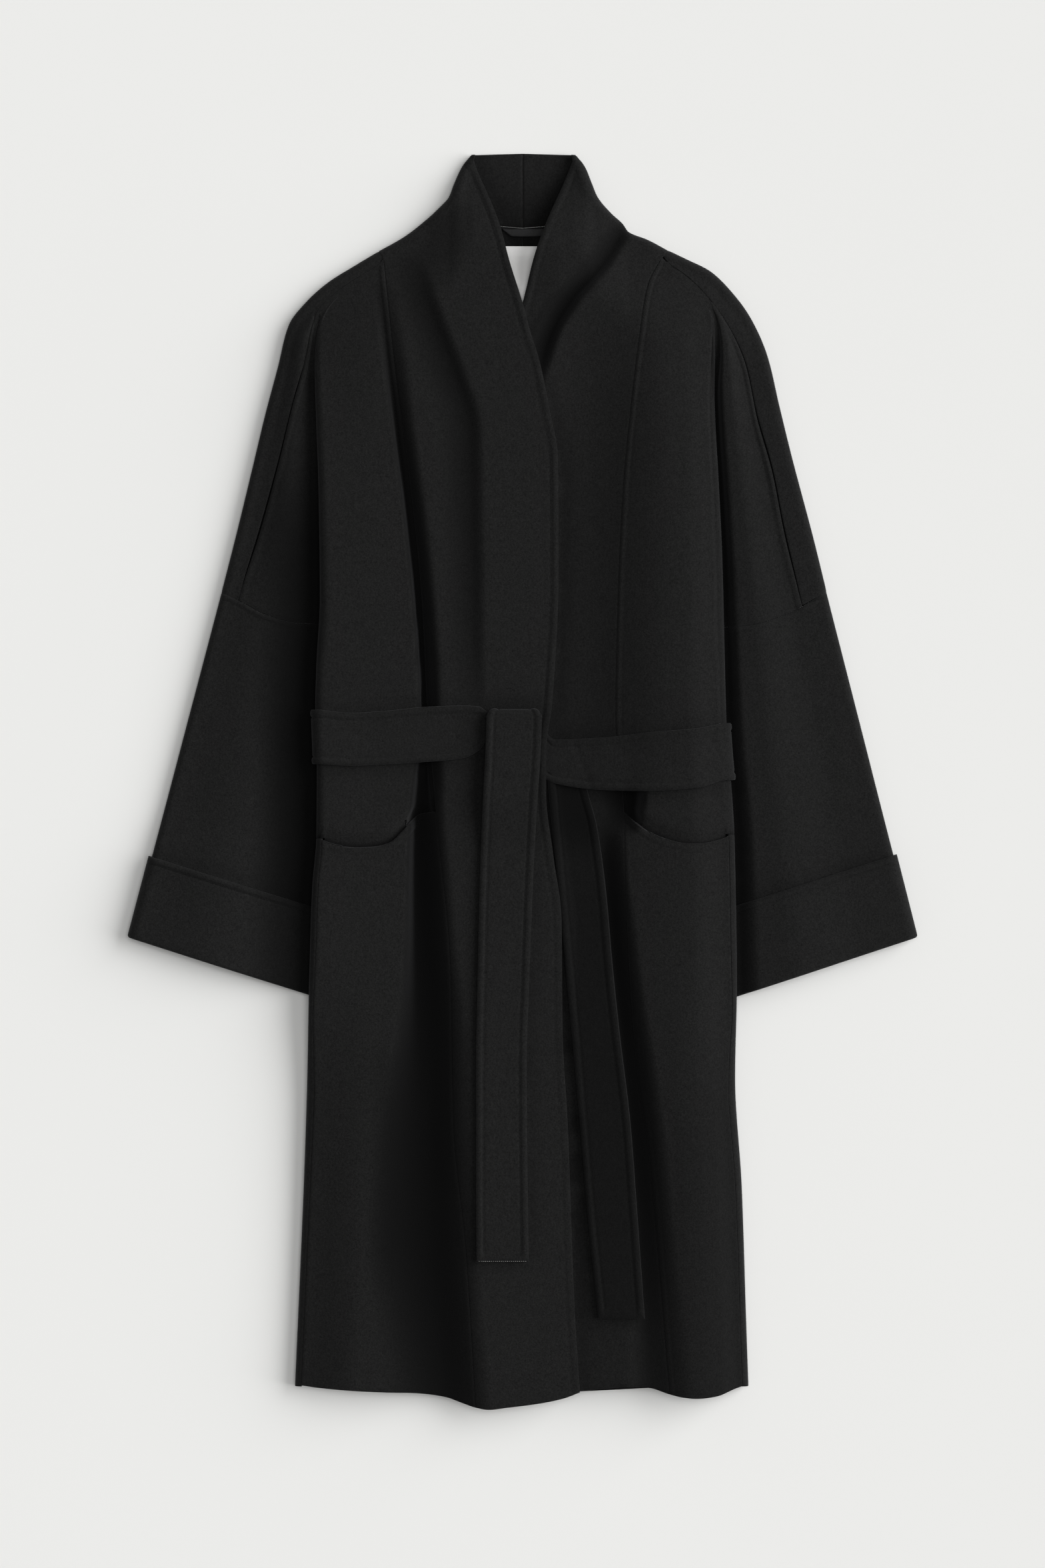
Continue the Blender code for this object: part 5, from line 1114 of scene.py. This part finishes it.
def endOverGrid():
    lowX, highX = fit(endOver["y"], endOver["lowX"]), fit(endOver["y"], endOver["highX"])
    turnY, lift = endOver["turnY"], belt["knotLift"]
    half = lift / 2.0

    def row(y, inset, extra, yAt):
        x = lowX(yAt) + inset + (highX(yAt) - lowX(yAt) - 2.0 * inset) * beltSteps
        z = plainHeight(right, -x, np.full(beltCols, y)) + beltOff + extra
        return np.stack([x, np.full(beltCols, y), z], axis=-1)

    inset = belt["knotInset"]
    rows = [row(y, inset, 0.0, turnY) for y in np.linspace(endOver["hiddenY"], turnY, 10)]
    level = rows[-1][:, 2].copy()
    for turn in np.linspace(0.0, np.pi, 13)[1:-1]:
        r = row(turnY + (half + 1.0) * np.sin(turn), inset - inset * turn / np.pi, 0.0, turnY)
        r[:, 2] = level + half - half * np.cos(turn)
        rows.append(r)
    for y in np.linspace(turnY, endOver["y"][-1], endOver["rows"]):
        r = row(y, 0.0, lift * smooth((y + 70.0) / 60.0), y)
        r[:, 2] += (level + lift - r[:, 2]) * smooth((y - turnY + 14.0) / 14.0)
        rows.append(r)
    return np.array(rows)


def endUnderGrid():
    lowX, highX = fit(endUnder["y"], endUnder["lowX"]), fit(endUnder["y"], endUnder["highX"])
    rows = []
    for y in np.linspace(endUnder["y"][0], endUnder["y"][-1], endUnder["rows"]):
        x = lowX(y) + (highX(y) - lowX(y)) * beltSteps
        level = np.full(beltCols, y)
        z = underOver(x, level, plainHeight(left, x, level))
        past = x + right["edgeA"](level)
        z = z + (cloth["thick"] + lap["gap"]) * (1.0 - smooth((past - 1.0) / 15.0)) + beltOff
        rows.append(np.stack([x, level, z], axis=-1))
    return np.array(rows)


def beltEnd(name, grid, like):
    fromEnd = np.linalg.norm(grid[:, beltCols // 2] - grid[-1, beltCols // 2], axis=-1)
    ways = gridNormals(grid, like)
    shown = slice(24, int(np.argmin(np.abs(fromEnd - edgeBand["wide"]))))
    sewBelt(name, grid[shown], ways[shown])
    across = slice(5, -5)
    row = np.full(beltCols - 10, float(shown.stop))
    sewAcross(name, grid[:, across], ways[:, across], row, stitch["beltLift"])
    return clothPiece(name, [(grid, ways, beltRelief(grid, fromEnd))], belt["thick"], woolLook)


# Neck label and hanger loop.
labelSizes = {"wide": 64.0, "top": 523.0, "bottom": 460.0, "thick": 0.8, "cells": 40, "sewnTo": 517.0,
              "springs": 36.0, "stands": 11.0, "wave": 0.7}
labelBand = {"wide": 3.2, "puff": 0.12, "groove": 0.14, "line": 0.7}
loopSizes = {"x": (-19, -10, 4, 18, 27), "top": (540, 539.6, 539.8, 540, 540),
             "bottom": (539, 532.6, 532.2, 532.6, 532.6), "lift": (0, 1.2, 2.4, 1.4, 0), "thick": 1.2}


def neckLabel(name):
    n = labelSizes["cells"]
    x = np.linspace(-labelSizes["wide"] / 2.0, labelSizes["wide"] / 2.0, n + 1)
    y = np.linspace(labelSizes["top"], labelSizes["bottom"], n + 1)
    grid = np.zeros((n + 1, n + 1, 3))
    grid[..., 0] = x[None]
    grid[..., 1] = y[:, None]
    free = smooth((labelSizes["sewnTo"] - grid[..., 1]) / labelSizes["springs"])  # the lower end springs up
    wave = 0.5 + 0.5 * np.sin(grid[..., 0] / 9.0 + 0.6)
    lift = free * (labelSizes["stands"] + labelSizes["wave"] * wave)
    grid[..., 2] = cloth["thick"] + cloth["layerGap"] + labelSizes["thick"] / 2.0 + lift
    ways = gridNormals(grid, (0.0, 0.0, 1.0))
    d = np.minimum(labelSizes["top"] - grid[..., 1], grid[..., 1] - labelSizes["bottom"])
    d = np.minimum(d, labelSizes["wide"] / 2.0 - np.abs(grid[..., 0]))
    return clothPiece(name, [(grid, ways, bandRelief(d, labelBand))], labelSizes["thick"], satinLook)


def hangerLoop(name):
    top, bottom, lift = (fit(loopSizes["x"], loopSizes[k]) for k in ("top", "bottom", "lift"))
    x = np.linspace(loopSizes["x"][0], loopSizes["x"][-1], 60)
    f = np.linspace(0.0, 1.0, 9)
    grid = np.zeros((len(x), len(f), 3))
    grid[..., 0] = x[:, None]
    grid[..., 1] = bottom(x)[:, None] + (top(x) - bottom(x))[:, None] * f[None]
    grid[..., 2] = cloth["thick"] + cloth["layerGap"] + loopSizes["thick"] / 2.0 + lift(x)[:, None]
    relief = np.repeat((0.25 * np.sin(np.pi * f) ** 0.6)[None], len(x), axis=0)
    ways = gridNormals(grid, (0.0, 0.0, 1.0))
    return clothPiece(name, [(grid, ways, relief)], loopSizes["thick"], tapeLook)


# What each piece stands for: its node, flat cut and what it rests on.
pieces = {
    "back_right": (backPanel(right, "wool_back_right"), (0.34, 1.17), "floor"),
    "back_left": (backPanel(left, "wool_back_left"), (0.34, 1.17), "floor"),
    "front_left": (frontPanel(left, "wool_front_left"), (0.20, 1.25), "wool_back_left"),
    "front_right": (frontPanel(right, "wool_front_right"), (0.20, 1.25), "wool_front_left"),
}
for half, word in ((right, "right"), (left, "left")):
    back = "wool_back_" + word
    skirtCut = (0.19, 0.57) if half is right else (0.125, 0.56)
    pieces["side_front_" + word] = (sideFront(half, "wool_side_front_" + word), (0.27, 0.60), back)
    pieces["skirt_" + word] = (skirtPanel(half, "wool_skirt_" + word), skirtCut, back)
    pieces["sleeve_" + word] = (sleevePiece(half, "wool_sleeve_" + word), (0.44, 0.36), "floor")
    pieces["cuff_" + word] = (cuffPiece(half, "wool_cuff_" + word), (0.47, 0.10), "wool_sleeve_" + word)
pieces["belt_right"] = (beltStretch(right, "wool_belt_right", beltRight), (0.23, 0.055), "wool_front_right")
pieces["belt_left"] = (beltStretch(left, "wool_belt_left", beltLeft), (0.25, 0.055), "wool_front_left")
pieces["belt_back"] = (beltBack("wool_belt_back"), (0.36, 0.056), "floor")
pieces["belt_end_over"] = (beltEnd("wool_belt_end_over", endOverGrid(), (0.0, 0.0, -1.0)), (0.056, 0.575),
                           "wool_front_right")
pieces["belt_end_under"] = (beltEnd("wool_belt_end_under", endUnderGrid(), (0.0, 0.0, 1.0)), (0.05, 0.56),
                            "wool_front_left")
pieces["hanger_loop"] = (hangerLoop("tape_hanger_loop"), (0.046, 0.0075), "wool_back_left")
pieces["label"] = (neckLabel("satin_label"), (0.065, 0.066), "wool_back_left")

# Painted shade: how openly each place lies among its neighbours, looked up in a map of heights, made darker
# still in the folds.
openness = {"cell": 3.0, "margin": 110.0, "reach": (3, 6, 9, 13, 18, 25, 34, 46, 62, 84), "ways": 16,
            "deepFold": 15.0, "foldDark": 0.87, "foldCurve": 0.6,
            "besideBody": {-1.0: (27.0, 68.0, 0.68, 360.0),  # painted shadow of the body beside it: from, to, most and top, by side
                           1.0: (2.0, 14.0, 0.7, 500.0)},
            "besideCuff": 0.55, "pocket": (0.7, 3.0), "underEnd": (0.33, 0.42)}
troughShade = {"most": 0.18, "at": 133.0, "wide": 16.0, "top": -240.0, "topRun": 50.0, "low": -520.0,
               "lowRun": 80.0}
lowSideShade = {"most": 0.2, "from": 140.0, "run": 50.0, "top": -230.0, "topRun": 110.0}


def verticesOf(piece):
    places = np.empty(3 * len(piece.data.vertices))
    piece.data.vertices.foreach_get("co", places)
    return places.reshape(-1, 3) * 1000.0


def foldShare(node, places):  # how much painted shade a place takes, 1 at the floor of a deep fold
    s = right if node.endswith("right") else left
    a, y = s["sign"] * places[:, 0], places[:, 1]
    share = np.zeros(len(places))
    if node.startswith(("front", "side_front", "skirt")):
        depth = sum(fold(a, y) for fold in s["folds"])
        share = np.clip(depth / openness["deepFold"], 0.0, 1.0) ** openness["foldCurve"]
    # painted shadow of the body on the side fronts, sleeves and cuffs beside it
    if node.startswith(("side_front", "sleeve", "cuff")):
        off = a - s["sideA"](y)
        near, far, most, top = openness["besideBody"][s["sign"]]
        beside = most * (1.0 - smooth((off - near) / (far - near))) * smooth((top - y) / 160.0)
        beside *= openness["besideCuff"] if node.startswith("cuff") else 1.0
        share = np.maximum(share, np.where((off > -2.0) & (places[:, 2] < 24.0), beside, 0.0))
    if node.startswith("side_front"):  # the shade just inside the pocket mouth
        most, wide = openness["pocket"]
        share = np.maximum(share, most * np.exp(-((y - s["mouthY"](a)) / wide) ** 2))
    if node == "skirt_right":  # painted shade on the slope into the long trough
        size = troughShade
        ends = smooth((size["top"] - y) / size["topRun"]) * smooth((y - size["low"]) / size["lowRun"])
        share = share + size["most"] * np.exp(-((a - size["at"]) / size["wide"]) ** 2) * ends
    if node == "skirt_left":  # painted shade on the low side
        size = lowSideShade
        turn = smooth((a - size["from"]) / size["run"]) * smooth((size["top"] - y) / size["topRun"])
        share = np.maximum(share, size["most"] * turn)
    if node == "belt_end_under":  # in the shade of the fronts, more so near the knot
        least, more = openness["underEnd"]
        share = least + more * smooth((y + 85.0) / 50.0)
    return share


def around(field):  # each cell and its eight neighbours
    return [np.roll(field, (i, j), axis=(0, 1)) for i in (-1, 0, 1) for j in (-1, 0, 1)]


def paintShade(cloths):
    cell, margin = openness["cell"], openness["margin"]
    everything = np.concatenate([verticesOf(piece) for piece in cloths.values()])
    corner = everything[:, :2].min(axis=0) - margin

    def cellOf(places):
        return tuple(np.round((places[:, :2] - corner) / cell).astype(int).T)

    height = np.zeros(np.round((everything[:, :2].max(axis=0) + margin - corner) / cell).astype(int) + 1)
    np.maximum.at(height, cellOf(everything), everything[:, 2])
    for _ in range(2):  # cells that hold no point take their highest neighbour
        height = np.where(height == 0.0, np.max(around(height), axis=0), height)
    for filt in (np.max, np.min):  # closes pits between rows of points
        height = filt(around(height), axis=0)
    seen = np.zeros_like(height)
    for turn in np.arange(openness["ways"]) * 2.0 * np.pi / openness["ways"]:
        steep = np.zeros_like(height)
        for reach in openness["reach"]:
            shift = (-int(round(reach * np.cos(turn) / cell)), -int(round(reach * np.sin(turn) / cell)))
            steep = np.maximum(steep, (np.roll(height, shift, axis=(0, 1)) - height) / reach)
        seen += 1.0 / (1.0 + steep ** 2) / openness["ways"]
    for _ in range(2):
        seen = np.mean(around(seen), axis=0)
    for node, piece in cloths.items():
        places = verticesOf(piece)
        # painted shade: the open share of the sky, darkened further by each place's share of fold shade
        values = seen[cellOf(places)] * (1.0 - openness["foldDark"] * foldShare(node, places))
        piece.data.attributes.new("openness", "FLOAT", "POINT").data.foreach_set("value", values)
    print("openness from", round(float(seen[height > 0.0].min()), 2))


# Pick stitches in the grooves and the pale fringe at the cut belt end, set along lines by Geometry Nodes.
fringe = {"every": 2.0, "long": 1.3, "wide": 0.4, "seed": 11, "dark": (0.22, 0.22, 0.21),
          "light": (0.72, 0.71, 0.69)}
thread = {"dark": (0.0022, 0.0022, 0.0024), "light": (0.0090, 0.0090, 0.0094)}


def threadLook(name, look):
    m, nodes, links, bsdf = newMaterial(name)
    coords = nodes.new("ShaderNodeTexCoord").outputs["Object"]
    ramp = nodes.new("ShaderNodeValToRGB")
    ramp.color_ramp.elements[0].color = (*look["dark"], 1.0)
    ramp.color_ramp.elements[1].color = (*look["light"], 1.0)
    links.new(noise(nodes, links, coords, 900.0, 2.0), ramp.inputs["Fac"])
    links.new(ramp.outputs["Color"], bsdf.inputs["Base Color"])
    bsdf.inputs["Roughness"].default_value = 0.8
    bsdf.inputs["Specular IOR Level"].default_value = 0.2
    return m


def stitchTree(name, look):
    tree = bpy.data.node_groups.new(name, "GeometryNodeTree")
    sockets = {}
    tree.interface.new_socket("Geometry", in_out="INPUT", socket_type="NodeSocketGeometry")
    for label, kind in (("every", "Float"), ("long", "Float"), ("wide", "Float"), ("seed", "Int")):
        socket = tree.interface.new_socket(label, in_out="INPUT", socket_type="NodeSocket" + kind)
        sockets[label] = socket.identifier
    tree.interface.new_socket("Geometry", in_out="OUTPUT", socket_type="NodeSocketGeometry")
    nodes, links = tree.nodes, tree.links
    start, end = nodes.new("NodeGroupInput"), nodes.new("NodeGroupOutput")
    curve = nodes.new("GeometryNodeMeshToCurve")
    spaced = nodes.new("GeometryNodeResampleCurve")
    spaced.mode = "LENGTH"
    bead = nodes.new("GeometryNodeMeshIcoSphere")
    bead.inputs["Radius"].default_value = 0.5
    bead.inputs["Subdivisions"].default_value = 1
    along, upright = (nodes.new("FunctionNodeAlignRotationToVector") for _ in range(2))
    along.axis, upright.axis, upright.pivot_axis = "X", "Z", "X"
    up = nodes.new("GeometryNodeInputNamedAttribute")
    up.data_type = "FLOAT_VECTOR"
    up.inputs["Name"].default_value = "up"
    size = nodes.new("ShaderNodeCombineXYZ")
    uneven = nodes.new("FunctionNodeRandomValue")
    uneven.data_type = "FLOAT"
    uneven.inputs[2].default_value, uneven.inputs[3].default_value = 0.75, 1.15
    scaled = nodes.new("ShaderNodeVectorMath")
    scaled.operation = "SCALE"
    put = nodes.new("GeometryNodeInstanceOnPoints")
    real = nodes.new("GeometryNodeRealizeInstances")
    dress = nodes.new("GeometryNodeSetMaterial")
    dress.inputs["Material"].default_value = look
    links.new(start.outputs["Geometry"], curve.inputs["Mesh"])
    links.new(curve.outputs["Curve"], spaced.inputs["Curve"])
    links.new(start.outputs["every"], spaced.inputs["Length"])
    links.new(spaced.outputs["Curve"], put.inputs["Points"])
    links.new(bead.outputs["Mesh"], put.inputs["Instance"])
    links.new(nodes.new("GeometryNodeInputTangent").outputs["Tangent"], along.inputs["Vector"])
    links.new(along.outputs["Rotation"], upright.inputs["Rotation"])
    links.new(up.outputs["Attribute"], upright.inputs["Vector"])
    links.new(upright.outputs["Rotation"], put.inputs["Rotation"])
    for axis, label in (("X", "long"), ("Y", "wide"), ("Z", "wide")):
        links.new(start.outputs[label], size.inputs[axis])
    links.new(start.outputs["seed"], uneven.inputs["Seed"])
    links.new(size.outputs["Vector"], scaled.inputs[0])
    links.new(uneven.outputs[1], scaled.inputs["Scale"])
    links.new(scaled.outputs["Vector"], put.inputs["Scale"])
    links.new(put.outputs["Instances"], real.inputs["Geometry"])
    links.new(real.outputs["Geometry"], dress.inputs["Geometry"])
    links.new(dress.outputs["Geometry"], end.inputs["Geometry"])
    return tree, sockets


def sewnPiece(name, lines, tree, sockets, size):
    points = np.concatenate([line[0] for line in lines]) * 0.001
    edges, count = [], 0
    for line, _ in lines:
        edges += [(count + k, count + k + 1) for k in range(len(line) - 1)]
        count += len(line)
    mesh = bpy.data.meshes.new(name)
    mesh.from_pydata(points.tolist(), edges, [])
    ups = np.concatenate([line[1] for line in lines])
    mesh.attributes.new("up", "FLOAT_VECTOR", "POINT").data.foreach_set("vector", ups.ravel())
    piece = bpy.data.objects.new(name, mesh)
    bpy.context.scene.collection.objects.link(piece)
    nodesOn = piece.modifiers.new("stitches", "NODES")
    nodesOn.node_group = tree
    for label, key in sockets.items():
        nodesOn[key] = size[label] if label == "seed" else size[label] * 0.001
    made = bpy.data.meshes.new_from_object(piece.evaluated_get(bpy.context.evaluated_depsgraph_get()))
    piece.modifiers.remove(nodesOn)
    piece.data = made
    bpy.data.meshes.remove(mesh)
    made.name = name
    print("sewn", name, len(made.polygons), "faces")
    return piece


sewTree = stitchTree("pickStitches", threadLook("blackThread", thread))
paleTree = stitchTree("paleFringe", threadLook("paleFringe", fringe))
threads = {}
for node, (piece, _, _) in pieces.items():
    if piece.name in sewn:
        threads[node] = [sewnPiece("thread_" + node, sewn[piece.name], *sewTree, stitch)]
cutEnd = endOverGrid()[-1, 2:-2] + (0.0, -0.2, 0.9)
cutEnd[:, 2] += 0.25 * np.sin(cutEnd[:, 0] * 1.7)
ravel = (cutEnd, np.tile((0.0, 0.0, 1.0), (len(cutEnd), 1)))
threads["belt_end_over"].append(sewnPiece("fringe_belt_end_over", [ravel], *paleTree, fringe))

paintShade({node: entry[0] for node, entry in pieces.items()})
for node, (piece, flat, under) in pieces.items():
    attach(piece, "root")
    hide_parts(node, *(["collar_" + node[6:]] if node.startswith("front_") else []))
    if node != "hanger_loop":  # a narrow tape, left out of the printed areas
        area, extras = areas[piece.name], threads.get(node, [])
        print(node, "cut", flat, "area", round(area, 4), round(area / flat[0] / flat[1], 2))
        for extra in extras:
            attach(extra, "root")

# Floor, light and camera.
studio = {"floor": (0.84, 0.84, 0.825), "floorSize": 12.0, "world": 0.16, "key": 3.7, "keySoftness": 60.0,
          "keyAt": (3.3, 0.85, 1.7), "top": 1.0, "topSoftness": 30.0, "topAt": (0.3, 0.2, 4.0),
          "floorZ": -0.0005, "camera": 9.0, "frameHeight": 1.5288, "frameY": -0.0023, "plane": 0.02}


def paleFloor():
    m, nodes, links, bsdf = newMaterial("paleFloor")
    coords = nodes.new("ShaderNodeTexCoord").outputs["Object"]
    ramp = nodes.new("ShaderNodeValToRGB")
    ramp.color_ramp.elements[0].color = (*(0.985 * c for c in studio["floor"]), 1.0)
    ramp.color_ramp.elements[1].color = (*studio["floor"], 1.0)
    links.new(noise(nodes, links, coords, 3.0, 2.0), ramp.inputs["Fac"])
    links.new(ramp.outputs["Color"], bsdf.inputs["Base Color"])
    bsdf.inputs["Roughness"].default_value = 0.9
    bsdf.inputs["Specular IOR Level"].default_value = 0.1
    h, z = studio["floorSize"] / 2.0, studio["floorZ"]
    mesh = bpy.data.meshes.new("floor")
    mesh.from_pydata([(-h, -h, z), (h, -h, z), (h, h, z), (-h, h, z)], [], [(0, 1, 2, 3)])
    mesh.materials.append(m)
    floor = bpy.data.objects.new("floor", mesh)
    bpy.context.scene.collection.objects.link(floor)


def softLight(name, place, softness, strength):
    light = bpy.data.lights.new(name, "SUN")
    light.angle = np.radians(softness)
    light.energy = strength
    lamp = bpy.data.objects.new(name, light)
    lamp.location = place
    lamp.rotation_mode = "QUATERNION"
    lamp.rotation_quaternion = (-Vector(place)).to_track_quat("-Z", "Y")
    bpy.context.scene.collection.objects.link(lamp)


paleFloor()
softLight("keyLight", studio["keyAt"], studio["keySoftness"], studio["key"])
softLight("topLight", studio["topAt"], studio["topSoftness"], studio["top"])
world = bpy.data.worlds.new("softStudio")
world.use_nodes = True
world.node_tree.nodes["Background"].inputs["Color"].default_value = (1.0, 1.0, 0.99, 1.0)
world.node_tree.nodes["Background"].inputs["Strength"].default_value = studio["world"]
bpy.context.scene.world = world
camera = bpy.data.cameras.new("camera")
camera.lens = camera.sensor_width * studio["camera"] / studio["frameHeight"]
eye = bpy.data.objects.new("camera", camera)
eye.location = (0.0, studio["frameY"], studio["camera"] + studio["plane"])
bpy.context.scene.collection.objects.link(eye)
bpy.context.scene.camera = eye
bpy.context.scene.view_settings.view_transform = "Standard"
print("studio set")
